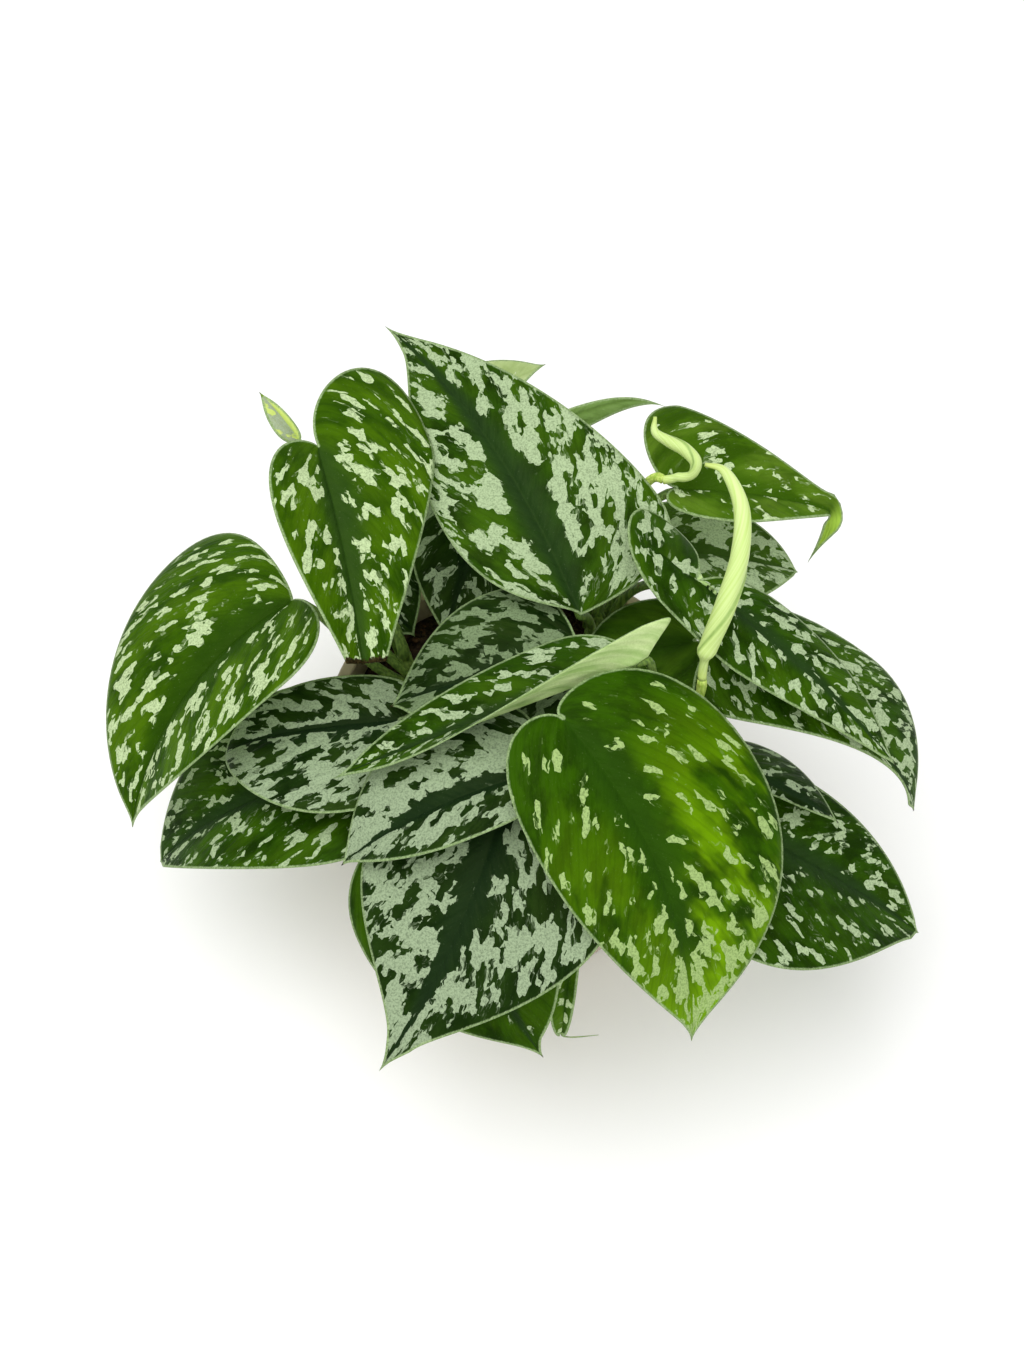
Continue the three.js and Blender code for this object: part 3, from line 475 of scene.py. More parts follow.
def blade_top(name, look, seed):
    s = Nodes(name + "_top")
    colours = look["colours"]
    across, along, side = s.parts(s.attribute("flow"))
    share, out, edge = s.parts(s.attribute("place"))
    right = s.math("GREATER_THAN", side, 0.0)
    shift_across, shift_along = (seed * shift for shift in LEAF_SHIFT)
    at = s.vector(s.plus(across, shift_across), s.plus(along, shift_along, s.times(right, HALF_SHIFT)))
    wander = s.shift(s.noise(at, 0.15, detail=2.0, colour=True), (-0.5, -0.5, -0.5))
    bent = s.shift(at, s.stretch(wander, WANDER))
    streaks = s.noise(bent, (1.2, 0.25, 1), detail=2.0)

    def by_half(pair):
        """The left half's value or the right half's."""
        return s.plus(pair[0], s.times(right, pair[1] - pair[0]))

    # how strongly silver shows here
    height = cells(s, bent, CELL, [size * look["blotch"] for size in BLOTCH])
    fine = cells(s, bent, FINE_CELL, FINE_BLOTCH)
    height = s.plus(height, s.times(s.minus(fine, 0.5), FINE_WEIGHT))
    bar = s.plus(
        by_half([bar_for(cover) for cover in look["cover"]]),
        s.ramp(out, 0.03, look["band"], 0.3, 0.0),
        s.times(s.ramp(share, look["tip_from"], 1.0), -look["tip"]),
        s.ramp(share, -0.02, 0.12, 0.04, 0.0),
        s.ramp(edge, 0.8, 4.0, 0.05, 0.0),
        s.ramp(share, look["plain_from"] - 0.03, look["plain_from"]),
    )
    above = s.minus(height, bar)
    silver = s.ramp(above, -0.003, 0.006)
    haze = s.times(s.ramp(above, -0.045, -0.003), s.ramp(streaks, 0.48, 0.62, 0.0, 0.36))
    silver = s.math("MAXIMUM", silver, haze)

    # the green under it: clouded, dark beside the midrib with a grey painted sheen there in some palettes,
    # darker along the veins as painted shade in their grooves, lighter in the glow and at the tip
    cloud = s.noise(bent, (0.07, 0.07, 1), detail=4.0, roughness=0.6)
    green = s.mix(s.ramp(cloud, 0.36, 0.62), colours["dark"], colours["mid"])
    glow = s.noise(bent, (0.045, 0.03, 1), detail=3.0, roughness=0.55)
    glow = s.times(s.ramp(glow, 0.4, 0.62), by_half(look["glow"]))
    glow = s.times(glow, s.times(s.ramp(out, 0.03, 0.4), s.ramp(share, 0.0, 0.6, look["base_glow"], 1.0)))
    green = s.mix(glow, green, colours["light"])
    # the plain band beside the midrib takes the rib green; its grey cast in some palettes is a painted sheen
    green = s.mix(s.ramp(out, 0.04, 0.34, 0.8, 0.0), green, colours["rib"])
    green = s.mix(s.ramp(share, *look["pale_from"], 0.0, look["pale"]), green, colours["light"])
    # darker lines along the veins, where the bump below sinks them: painted shade in their grooves
    vein = s.math("SINE", s.times(s.plus(across, s.times(streaks, 2.4)), 2 * math.pi / VEIN_PITCH))
    green = s.mix(s.ramp(vein, 0.5, 1.0, 0.0, 0.16), green, colours["dark"])

    # silver with its fine grain, and the pale line round the margin
    grain = s.noise(s.place_mm(), 1.7, detail=2.0, roughness=0.75)
    dusk = tuple(DUSK * c for c in linear(colours["silver"])[:3]) + (1,)
    pale = s.mix(s.ramp(grain, 0.36, 0.62), dusk, colours["silver"])
    cover = s.times(silver, s.ramp(grain, 0.3, 0.5, 0.72, 0.96))
    colour = s.mix(cover, green, pale)
    colour = s.mix(s.ramp(grain, 0.66, 0.76, 0.0, 0.12), colour, colours["silver"])
    ragged = s.plus(edge, s.times(s.minus(streaks, 0.5), 0.6))
    line = s.ramp(ragged, MARGIN_LINE - 0.35, MARGIN_LINE + 0.15, 0.92, 0.0)
    rim = s.mix(s.ramp(grain, 0.35, 0.65), (114, 138, 88), (154, 176, 126))
    colour = s.mix(line, colour, rim)
    if look["brown"]:
        wobble = s.plus(share, s.times(s.minus(fine, 0.5), 0.05))
        dry = s.ramp(wobble, look["brown"], look["brown"] + 0.008)
        colour = s.mix(dry, colour, s.mix(s.ramp(grain, 0.35, 0.65), *look["husk"]))

    swell = s.noise(at, (0.4, 0.16, 1))
    relief = s.plus(s.times(silver, 0.03), s.times(grain, 0.06), s.times(vein, -0.03), s.times(swell, 0.4))
    roughness = s.plus(s.ramp(grain, 0.3, 0.7, 0.4, 0.5), s.times(silver, 0.06))
    return s.finish(colour, roughness, s.bump(relief, 0.8), specular=0.06, tint=LEAF_GLOSS)


def blade_under(name, young=False):
    s = Nodes(name)
    across, along, _ = s.parts(s.attribute("flow"))
    at = s.vector(across, along)
    cloud = s.noise(at, (0.12, 0.06, 1), detail=2.0)
    pale, full = ((206, 220, 150), (180, 204, 116)) if young else ((190, 210, 146), (150, 182, 104))
    colour = s.mix(s.ramp(cloud, 0.3, 0.7), full, pale)
    vein = s.math("SINE", s.times(across, 2 * math.pi / VEIN_PITCH))
    colour = s.mix(s.ramp(vein, 0.6, 1.0, 0.0, 0.3), colour, (200, 218, 158))
    grain = s.noise(s.place_mm(), 2.2, detail=2.0)
    colour = s.mix(s.ramp(grain, 0.4, 0.7, 0.0, 0.2), colour, (116, 150, 76))
    relief = s.plus(s.times(vein, 0.05), s.times(grain, 0.03))
    return s.finish(colour, s.ramp(grain, 0.3, 0.7, 0.5, 0.6), s.bump(relief, 0.8), specular=0.3)


def stem_skin(name, dark, light, spot=(110, 84, 44)):
    s = Nodes(name)
    at = s.place_mm()
    along = s.noise(at, (1.4, 1.4, 0.12), detail=2.0)
    colour = s.mix(s.ramp(along, 0.35, 0.65), dark, light)
    patch = s.noise(at, 0.5, detail=3.0, roughness=0.65)
    colour = s.mix(s.ramp(patch, 0.6, 0.72, 0.0, 0.6), colour, spot)
    relief = s.plus(s.times(along, 0.12), s.times(patch, 0.08))
    return s.finish(colour, s.ramp(patch, 0.3, 0.7, 0.42, 0.6), s.bump(relief), specular=0.35)


def shoot_skin():
    s = Nodes("rolled_leaf")
    share, turn, depth = s.parts(s.attribute("place"))
    at = s.vector(s.times(turn, 9.0), s.times(share, 3.0))
    fibre = s.noise(at, (3.0, 0.6, 1), detail=2.0)
    colour = s.mix(s.ramp(fibre, 0.3, 0.7), (180, 206, 114), (200, 221, 144))
    # darker green along the seam, where the free margin steps over the roll: painted shade in that step
    colour = s.mix(s.ramp(depth, 0.0, 0.8, 0.75, 0.0), colour, (120, 156, 66))
    colour = s.mix(s.ramp(share, 0.0, 0.1, 0.35, 0.0), colour, (196, 214, 90))
    colour = s.mix(s.ramp(share, 0.88, 1.0, 0.0, 0.6), colour, (172, 190, 84))
    grain = s.noise(s.place_mm(), 2.4, detail=2.0)
    relief = s.plus(s.times(fibre, 0.05), s.times(grain, 0.03))
    return s.finish(colour, s.ramp(grain, 0.3, 0.7, 0.4, 0.5), s.bump(relief), specular=0.4)


def soil_matter(name, dark, light):
    s = Nodes(name)
    at = s.place_mm()
    crumb = s.noise(at, 0.7, detail=4.0, roughness=0.7)
    colour = s.mix(s.ramp(crumb, 0.35, 0.68), dark, light)
    return s.finish(colour, s.ramp(crumb, 0.3, 0.7, 0.95, 0.8), s.bump(s.times(crumb, 1.2)), specular=0.2)


def pot_plastic():
    s = Nodes("taupe_plastic")
    at = s.place_mm()
    cloud = s.noise(at, 0.03, detail=3.0)
    colour = s.mix(s.ramp(cloud, 0.35, 0.65), (178, 160, 140), (192, 175, 156))
    grain = s.noise(at, 3.0, detail=2.0)
    colour = s.mix(s.ramp(grain, 0.55, 0.75, 0.0, 0.12), colour, (150, 132, 114))
    scuff = s.noise(at, (0.3, 0.3, 2.0), detail=3.0, roughness=0.7)
    colour = s.mix(s.ramp(scuff, 0.62, 0.74, 0.0, 0.25), colour, (208, 194, 176))
    roughness = s.plus(s.ramp(grain, 0.3, 0.7, 0.42, 0.52), s.ramp(scuff, 0.6, 0.75, 0.0, 0.15))
    return s.finish(colour, roughness, s.bump(s.times(grain, 0.05)), specular=0.45)


def studio_floor():
    s = Nodes("studio_floor")
    cloud = s.noise(s.place_mm(), 0.004, detail=2.0)
    colour = s.mix(s.ramp(cloud, 0.3, 0.7), (243, 243, 243), (245, 245, 245))
    return s.finish(colour, 0.9, specular=0.1)


# ---------- the midrib and the shape of a blade, as in the model's source ----------
LEFT, RIGHT = 0, 1
UP = np.array((0.0, 0.0, 1.0))
MIDRIB_SAMPLES = 60
BENT_END_SAMPLES = 20
BENT_END_HANDLES = (3, 2)
BENT_END_AT = 0.35
HANDLES_AT = (0.33, 0.67)
HOOK_REACH = 0.35
HOOK_RISE = 0.25
TURN_SHARE = 0.1
LOBE_END = 0.4
TAIL_START = 0.92
BENT_TAIL_START = 0.7
ROW_SPREAD = 1.6
ROW_CURVE = 0.35


class Midrib:
    """The curve along a leaf's midrib, with the directions beside and above it."""

    def __init__(self, leaf):
        base, tip = np.array(leaf["base"], float), np.array(leaf["tip"], float)
        end = np.array(leaf["bend"], float) if leaf["bend"] else tip
        distance = np.linalg.norm(end - base)
        chord = (end - base) / distance
        flat_side = unit(np.cross(chord, UP))
        flat_normal = np.cross(flat_side, chord)
        roll = math.radians(leaf["roll"])
        self.side = flat_side * math.cos(roll) - flat_normal * math.sin(roll)
        normal = flat_normal * math.cos(roll) + flat_side * math.sin(roll)
        rise = 4 / 3 * leaf["arch"] * distance
        hook = leaf["hook"]
        second = base + chord * HANDLES_AT[0] * distance + normal * rise + self.side * leaf["lean"][0]
        third = base + chord * (HANDLES_AT[1] + HOOK_REACH * hook) * distance
        third = third + normal * (rise + HOOK_RISE * hook * distance) + self.side * leaf["lean"][1]
        points = cubic((base, second, third, end), np.linspace(0, 1, MIDRIB_SAMPLES + 1))
        if leaf["bend"]:
            turn = unit(end - third)
            handles = (end, end + turn * BENT_END_HANDLES[0],
                       end + (tip - end) * BENT_END_AT + turn * BENT_END_HANDLES[1], tip)
            t = np.linspace(0, 1, BENT_END_SAMPLES + 1)[1:]
            points = np.concatenate([points, cubic(handles, t)])
        steps = np.linalg.norm(np.diff(points, axis=0), axis=1)
        self.length = steps.sum()
        self.arc = np.concatenate([[0], np.cumsum(steps)]) / self.length
        self.points = points
        self.bend_at = self.arc[MIDRIB_SAMPLES]
        self.turned = np.array(leaf["turn"], float) if leaf["turn"] else self.side
        self.tangents = directions(points)
        self.lift = math.radians(leaf["lift"])
        self.reach = max(*leaf["lobe"], 0.05)

    def along(self, values, share):
        """Points or directions at shares of the length, from those at the samples."""
        return np.stack([np.interp(share, self.arc, values[:, k]) for k in range(3)], -1)

    def frames(self, x):
        """Points, tangents, sides and normals at shares x of the length; below 0 is behind the base."""
        x = np.asarray(x, float)
        share = np.clip(x, 0, 1)
        point = self.along(self.points, share)
        tangent = unit(self.along(self.tangents, share))
        past = np.clip((share - self.bend_at) / TURN_SHARE, 0, 1)[..., None]
        aim = self.side * (1 - past) + self.turned * past
        side = unit(aim - tangent * (tangent * aim).sum(-1, keepdims=True))
        normal = np.cross(side, tangent)
        behind = np.maximum(-x, 0)
        angle = self.lift * behind / self.reach
        run = behind * self.length
        safe = np.where(angle > 1e-6, angle, 1)
        back = np.where(angle > 1e-6, run * np.sin(angle) / safe, run)[..., None]
        rise = np.where(angle > 1e-6, run * (1 - np.cos(angle)) / safe, 0)[..., None]
        point = point - tangent * back + normal * rise
        tangent = tangent * np.cos(angle)[..., None] - normal * np.sin(angle)[..., None]
        return point, tangent, side, np.cross(side, tangent)


def margin(leaf, half, t):
    """A half's flat outline, t from 0 in the sinus to 1 at the tip, as shares of length and half width."""
    widest, lobe, swell = leaf["widest"][half], leaf["lobe"][half], leaf["swell"][half]
    shoulder = widest + leaf["full"][half] * (1 - widest)
    tail, tail_width = leaf["tail"], leaf["tail_width"]
    tail_start = BENT_TAIL_START if leaf["bend"] else TAIL_START
    ends = (0, LOBE_END, tail_start, 1)
    along = (
        (0, -lobe, -swell * lobe, widest),
        (widest, shoulder, leaf["point"][half], 1 - tail),
        (1 - tail, 1 - 0.6 * tail, 1 - 0.35 * tail, 1),
    )
    out = (
        (0, leaf["inner"][half], 1, 1),
        (1, 1, leaf["sharp"][half], tail_width),
        (tail_width, 0.45 * tail_width, 0.09 * tail_width, 0),
    )
    x = y = 0
    for start, end, xs, ys in zip(ends, ends[1:], along, out):
        u = (t - start) / (end - start)
        x = np.where(t >= start, cubic(xs, u), x)
        y = np.where(t >= start, cubic(ys, u), y)
    return x, y


def margin_end(leaf, half):
    """Where a clipped blade ends along its margin."""
    if leaf["cut"] >= 1:
        return 1
    t = np.linspace(LOBE_END, 1, 2000)
    return t[np.argmax(margin(leaf, half, t)[0] >= leaf["cut"])]


def blade_points(leaf, rib, half, x, y):
    """Points of the blade: x along the midrib, y in mm out from it on one half."""
    sign = -1 if half == LEFT else 1
    point, _, side, normal = rib.frames(x)
    share = np.clip(x, 0, 1)
    fold_tip = leaf["fold_tip"] or leaf["fold"]
    fold = np.radians(leaf["fold"][half] + (fold_tip[half] - leaf["fold"][half]) * share)
    bow = math.radians(leaf["camber"][half]) / leaf["width"][half]
    if abs(bow) < 1e-6:
        out, rise = y * np.cos(fold), y * np.sin(fold)
    else:
        out = (np.sin(fold) - np.sin(fold - bow * y)) / bow
        rise = (np.cos(fold - bow * y) - np.cos(fold)) / bow
    return point + side * (sign * out)[..., None] + normal * rise[..., None]


# ---------- a fine blade ----------
ROWS = 60
COLS = 26
EDGE_SAMPLES = 500
VEIN_START = 1.1      # how far a vein runs forward for each mm out from the midrib, at the midrib
VEIN_BEND = 0.7       # how much more it runs forward on its way to the margin
VEIN_CONVERGE = 0.3   # how far the veins close up with the outline towards the tip
GROOVE_DEPTH = 0.5
GROOVE_WIDTH = 0.9
RIB_DEPTH = 0.9
RIB_WIDTH = 1.1
QUILT = 0.16
QUILT_PITCH = 8.0


def trimmed(corners):
    """A face's corners, without those that repeat the one before."""
    return [c for i, c in enumerate(corners) if c != corners[i - 1]]


class Mesh:
    """Vertices, faces with a material number, and vectors stored at each vertex."""

    def __init__(self):
        self.points = []
        self.faces = []
        self.kinds = []
        self.flow = []
        self.place = []

    def add(self, points, flow=None, place=None):
        """Adds points, and gives the number of the first one."""
        start = len(self.points)
        self.points.extend(np.asarray(points, float).tolist())
        for kept, given in ((self.flow, flow), (self.place, place)):
            kept.extend((np.zeros((len(points), 3)) if given is None else given).tolist())
        return start

    def ring(self, radius, z, sides):
        a = around(sides)
        return self.add(np.stack([radius * np.cos(a), radius * np.sin(a), np.full(sides, z)], 1))

    def face(self, corners, kind):
        corners = trimmed(corners)
        if len(corners) > 2:
            self.faces.append(corners)
            self.kinds.append(kind)

    def loft(self, starts, sides, kind, turned=False):
        """Walls between rings that begin at the given points. Turned walls face the other way."""
        for low, high in zip(starts, starts[1:]):
            for k in range(sides):
                j = (k + 1) % sides
                corners = [low + k, low + j, high + j, high + k]
                self.face(corners[:1] + corners[:0:-1] if turned else corners, kind)

    def cap(self, start, sides, kind, up=True):
        corners = [start + k for k in range(sides)]
        self.face(corners if up else corners[::-1], kind)

    def tube(self, path, radii, sides, kind, places=None):
        """A round tube along the points of path. A radius may be a number or a ring of numbers."""
        path = np.asarray(path, float)
        along = directions(path)
        across = UP if abs(along[0][2]) < 0.9 else np.array((1.0, 0, 0))
        a = around(sides)[:, None]
        rings = []
        for point, direction, radius, place in zip(path, along, radii, places or [None] * len(path)):
            across = unit(across - direction * (direction @ across))
            ring = np.cos(a) * across + np.sin(a) * np.cross(direction, across)
            rings.append(self.add(point + np.broadcast_to(radius, sides)[:, None] * ring, place=place))
        self.loft(rings, sides, kind)
        self.cap(rings[0], sides, kind, up=False)
        self.cap(rings[-1], sides, kind)

    def build(self, name, materials, slot, *nodes):
        mesh = bpy.data.meshes.new(name)
        mesh.from_pydata((np.array(self.points) * MM).tolist(), [], self.faces)
        for key, values in (("flow", self.flow), ("place", self.place)):
            layer = mesh.attributes.new(key, "FLOAT_VECTOR", "POINT")
            layer.data.foreach_set("vector", np.array(values, np.float32).ravel())
        for material in materials:
            mesh.materials.append(material)
        mesh.polygons.foreach_set("material_index", self.kinds)
        mesh.polygons.foreach_set("use_smooth", [True] * len(self.faces))
        mesh.validate()
        piece = add_object(name, mesh)
        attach(piece, BODY)
        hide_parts(*nodes)


def add_blade(mesh, leaf, rib):
    """The blade as a closed thin sheet: kind 0 above, kind 1 below."""
    numbers = {}
    table = []
    quads = []
    edges = []
    v = np.linspace(0, 1, COLS + 1)
    v = v * (0.35 + 0.65 * v)
    for half in (LEFT, RIGHT):
        sign = -1 if half == LEFT else 1
        width = leaf["width"][half]
        end = margin_end(leaf, half)
        t = np.linspace(0, 1, ROWS + 1)
        edge_x, edge_share = margin(leaf, half, t * end)
        rib_x = leaf["cut"] * t**ROW_SPREAD
        bend_x = rib_x + (edge_x - rib_x) * ROW_CURVE
        x = np.outer(rib_x, (1 - v) ** 2) + np.outer(bend_x, 2 * v * (1 - v)) + np.outer(edge_x, v * v)
        y = np.outer(edge_share * width, v)
        points = blade_points(leaf, rib, half, x, y)
        fine_x, fine_share = margin(leaf, half, np.linspace(0, end, EDGE_SAMPLES))
        edges.append(blade_points(leaf, rib, half, fine_x, fine_share * width))
        away = VEIN_CONVERGE * v * width + (1 - VEIN_CONVERGE) * y
        across = x * rib.length - VEIN_START * away - VEIN_BEND * away**2 / width
        reach = width / (2 * VEIN_BEND)
        along = x * rib.length + reach * np.log(1 + 2 * VEIN_BEND / VEIN_START * away / width)
        grid = np.zeros((ROWS + 1, COLS + 1), int)
        for row, col in np.ndindex(grid.shape):
            key = (half, row, col)
            if row == 0:
                key = "base"
            elif row == ROWS and leaf["cut"] >= 1:
                key = "tip"
            elif col == 0:
                key = ("rib", row)
            if key not in numbers:
                numbers[key] = len(table)
                at = (row, col)
                out = v[col] if row else 0.0
                table.append((*points[at], x[at], out, y[at], across[at], along[at], sign * y[at]))
            grid[row, col] = numbers[key]
        for row, col in np.ndindex(ROWS, COLS):
            quad = [grid[row, col], grid[row + 1, col], grid[row + 1, col + 1], grid[row, col + 1]]
            quad = trimmed(quad if half == LEFT else quad[::-1])
            if len(quad) > 2:
                quads.append(quad)
    table = np.array(table)
    middle, flow = table[:, :3], table[:, 6:]
    share, out, off_rib = table[:, 3:6].T
    normals = np.zeros_like(middle)
    for quad in quads:
        a, b, c = middle[quad[:3]]
        normals[quad] += np.cross(b - a, c - a)
    normals = unit(normals)
    edge = np.linalg.norm(middle[:, None] - np.concatenate(edges)[None], axis=2).min(1)

    # relief: a groove over the midrib, a rib under it, and a faint quilting between the main veins
    fade = 1 - 0.75 * np.clip(share, 0, 1)
    groove = GROOVE_DEPTH * fade * np.exp(-((off_rib / (GROOVE_WIDTH * (0.5 + fade))) ** 2))
    ridge = RIB_DEPTH * fade**1.5 * np.exp(-((off_rib / (RIB_WIDTH * (0.4 + fade))) ** 2))
    body = smooth(0, 3.5, edge)
    groove, ridge = groove * body, ridge * body
    wave = np.sin(2 * math.pi * flow[:, 0] / QUILT_PITCH) * np.sin(math.pi * np.clip(out, 0, 1)) * body
    wave = QUILT * wave
    half_thick = 0.5 * (MARGIN_THICK + (BLADE_THICK - MARGIN_THICK) * smooth(0, 1.2, edge))
    upper = middle + normals * (half_thick + wave - groove)[:, None]
    lower = middle - normals * (half_thick - wave + ridge)[:, None]
    place = np.stack([share / leaf["cut"], out, edge], 1)
    top = mesh.add(upper, flow, place)
    under = mesh.add(lower, flow, place)
    sides = set()
    for quad in quads:
        mesh.face([top + i for i in quad], 0)
        mesh.face([under + i for i in reversed(quad)], 1)
        sides.update((quad[i - 1], quad[i]) for i in range(len(quad)))
    for a, b in sides:
        if (b, a) not in sides:
            mesh.face([top + b, top + a, under + a, under + b], 0)


# ---------- stalks ----------
STALK_STEPS = 26
STALK_SIDES = 14
CHANNEL_DEPTH = 0.16
CHANNEL_WIDTH = 0.5    # in radians
# where a petiole runs out under the midrib, as shares of the blade's length
UNDER_BLADE = (0.03, 0.07, 0.12, 0.18, 0.26)


def smooth_line(knots, steps, t):
    """Points at t on a centripetal Catmull-Rom curve that passes its knots at steps."""
    knots = np.array(knots, float)
    padded = np.concatenate([[2 * knots[0] - knots[1]], knots, [2 * knots[-1] - knots[-2]]])
    points = []
    for share in np.atleast_1d(t):
        k = min(int(np.searchsorted(steps, share, "right")) - 1, len(knots) - 2)
        u = (share - steps[k]) / (steps[k + 1] - steps[k])
        p0, p1, p2, p3 = padded[k:k + 4]
        d0, d1, d2 = (np.linalg.norm(b - a) ** 0.5 for a, b in ((p0, p1), (p1, p2), (p2, p3)))
        start = ((p1 - p0) / d0 - (p2 - p0) / (d0 + d1) + (p2 - p1) / d1) * d1
        end = ((p2 - p1) / d1 - (p3 - p1) / (d1 + d2) + (p3 - p2) / d2) * d1
        bend = -3 * p1 + 3 * p2 - 2 * start - end
        points.append(p1 + start * u + bend * u**2 + (2 * p1 - 2 * p2 + start + end) * u**3)
    return np.array(points)


def vine_points(name, t):
    """Points of a vine at t from 0 in the soil to 1 at its top: one smooth bend through the soil level."""
    root, mouth, top = VINES[name]
    return smooth_line([(*root, SOIL_TOP - VINE_HOLE_DEPTH), (*mouth, SOIL_TOP), top], (0, 0.5, 1), t)


def stalk_path(stalk, end):
    root, first, second = stalk
    if isinstance(root[0], str):
        start = vine_points(root[0], 0.5 + 0.5 * root[1])[0]
    else:
        start = np.array((*root, SOIL_TOP - VINE_HOLE_DEPTH), float)
    return cubic((start, first, second, end), np.linspace(0, 1, STALK_STEPS + 1))


def stalk_radii(count):
    """A stalk thins upwards, with a sheath at its foot and a slight joint under the blade."""
    t = np.linspace(0, 1, count)
    radius = PETIOLE_R + (PETIOLE_TOP_R - PETIOLE_R) * t
    return radius * (1 + 0.25 * np.exp(-((t / 0.08) ** 2)) + 0.14 * np.exp(-(((t - 0.93) / 0.05) ** 2)))


def add_petiole(mesh, leaf, rib, kind):
    point, _, _, normal = rib.frames(0.0)
    path = stalk_path(leaf["petiole"], point - normal * (PETIOLE_TOP_R + 0.35))
    radii = stalk_radii(len(path))
    a = around(STALK_SIDES)
    channel = 1 - CHANNEL_DEPTH * np.exp(-((np.minimum(a, 2 * math.pi - a) / CHANNEL_WIDTH) ** 2))
    rings = [r * channel for r in radii]
    for x in UNDER_BLADE:
        p, _, _, n = rib.frames(x * leaf["cut"])
        radius = PETIOLE_TOP_R * (1 - 2.8 * x)
        path = np.concatenate([path, [p - n * (radius + 0.4)]])
        rings.append(np.full(STALK_SIDES, radius))
    mesh.tube(path, rings, STALK_SIDES, kind)


def add_leaf(name, given, seed):
    leaf = {**LEAF_DEFAULTS, **given}
    rib = Midrib(leaf)
    mesh = Mesh()
    add_blade(mesh, leaf, rib)
    add_petiole(mesh, leaf, rib, 2)
    look = {**LOOK_DEFAULTS, **LOOKS.get(name, {})}
    under = UNDER_YOUNG if name == "shoot_left" else UNDER
    mesh.build(name + "_look", [blade_top(name, look, seed), under, STALK], SLOT_OF[name], name)


# ---------- rolled shoots ----------
ROLL_STEPS = 60
ROLL_SIDES = 36
OVERLAP = 0.22
SEAM_START = -0.36    # where round the spindle the free margin starts, in turns
TWIST_TURNS = 1.2
LIP_AT = 0.13         # below this share of the roll, only its bare stalk shows
LIP_HEIGHT = 0.3
LIP_LENGTH = 0.035


def add_rolled_shoot(name, shoot):
    """A young leaf rolled round itself: its free margin shows as a step that winds up the spindle."""
    mesh = Mesh()
    stalk = stalk_path(shoot["petiole"], np.array(shoot["roll"][0], float))
    mesh.tube(stalk, stalk_radii(len(stalk)), STALK_SIDES, 1)
    steps = np.concatenate([[0], np.cumsum(np.linalg.norm(np.diff(shoot["roll"], axis=0), axis=1))])
    steps /= steps[-1]
    t = np.linspace(0, 1, ROLL_STEPS + 1)
    path = smooth_line(shoot["roll"], steps, t)
    radius = np.interp(t, steps, (PETIOLE_TOP_R,) + shoot["radii"])
    radius = np.convolve(np.pad(radius, 3, "edge"), np.ones(7) / 7, "valid")
    radius = PETIOLE_TOP_R + (radius - PETIOLE_TOP_R) * smooth(LIP_AT - 0.03, LIP_AT + 0.02, t)
    a = np.arange(ROLL_SIDES) / ROLL_SIDES
    rings = []
    places = []
    for share, r in zip(t, radius):
        seam = (a - SEAM_START - TWIST_TURNS * share) % 1
        step = OVERLAP * smooth(LIP_AT - 0.02, LIP_AT + 0.06, share) * (0.5 - seam)
        lip = LIP_HEIGHT * math.exp(-(((share - LIP_AT) / LIP_LENGTH) ** 2))
        lip = lip * np.cos(2 * math.pi * (seam - 0.1))
        rings.append(r * (1 + step + lip))
        from_seam = np.minimum(seam, 1 - seam) * 2 * math.pi * r
        places.append(np.stack([np.full(ROLL_SIDES, share), seam, from_seam], 1))
    mesh.tube(path, rings, ROLL_SIDES, 0, places)
    mesh.build(name + "_look", [SHOOT, STALK_YOUNG], SLOT_OF[name], name)


# ---------- vines ----------
VINE_STEPS = 40
VINE_SIDES = 20
ROOTED_JOINTS = (0.62, 0.82)
TOP_JOINT = 0.99
JOINT_SWELL = 0.18
JOINT_LENGTH = 0.022
NUBS = 2
NUB_STEPS = 7
NUB_SIDES = 10
NUB_R = 0.75
NUB_TAPER = 0.09


def add_vine(name, seed):
    """A vine with swollen joints, and two root nubs at each joint above the soil."""
    mesh = Mesh()
    t = np.linspace(0, 1, VINE_STEPS + 1)
    radii = VINE_R + (VINE_TIP_R - VINE_R) * t
    for joint in (*ROOTED_JOINTS, TOP_JOINT):
        radii = radii * (1 + JOINT_SWELL * np.exp(-(((t - joint) / JOINT_LENGTH) ** 2)))
    mesh.tube(vine_points(name, t), radii, VINE_SIDES, 0)
    draw = random.Random(seed)
    for joint in ROOTED_JOINTS:
        foot = vine_points(name, joint)[0]
        for _ in range(NUBS):
            turn = draw.uniform(0, 2 * math.pi)
            out = np.array((math.cos(turn), math.sin(turn), -0.5))
            length = draw.uniform(3.5, 5.5)
            nub = [foot + out * length * k / (NUB_STEPS - 1) - UP * 0.05 * k * k for k in range(NUB_STEPS)]
            mesh.tube(nub, [NUB_R - NUB_TAPER * k for k in range(NUB_STEPS)], NUB_SIDES, 1)
    mesh.build(name + "_look", [VINE_SKIN, ROOT_SKIN], "vine", name)


# ---------- pot and potting mix ----------
POT_SIDES = 144
CORNER_POINTS = 5
EDGE_ROUND = 0.9     # radius of the collar's rounded edges
LIP_ROUND = 0.8
FOOT_ROUND = 1.2
UNDERSIDE = 0.7      # how far the base is raised inside its foot
SOIL_RINGS = 46
SOIL_SIDES = 120
SOIL_DEPTH = 6
SOIL_WAVES = 26
WAVE_HEIGHT = 0.2
SOIL_SINK = 0.6      # how far the lumpy top lies under SOIL_TOP on average, and again at the wall
# count, size, material number and flatness of the crumbs of peat, the bark and the perlite
CRUMBS = (
    (260, (0.8, 2.2), 0, 0.55),
    (70, (1.2, 3.2), 1, 0.45),
    (46, (0.8, 1.7), 2, 0.85),
)
CRUMB_SIDES = 7
CRUMB_LAYERS = ((0.55, -0.7), (1.0, 0.0), (0.6, 0.75))    # radius and height, as shares of its size


def pot_radius(z):
    share = z / (POT_HEIGHT - COLLAR_HEIGHT)
    return POT_BASE_R + (POT_RIM_R - COLLAR_STEP - POT_BASE_R) * share


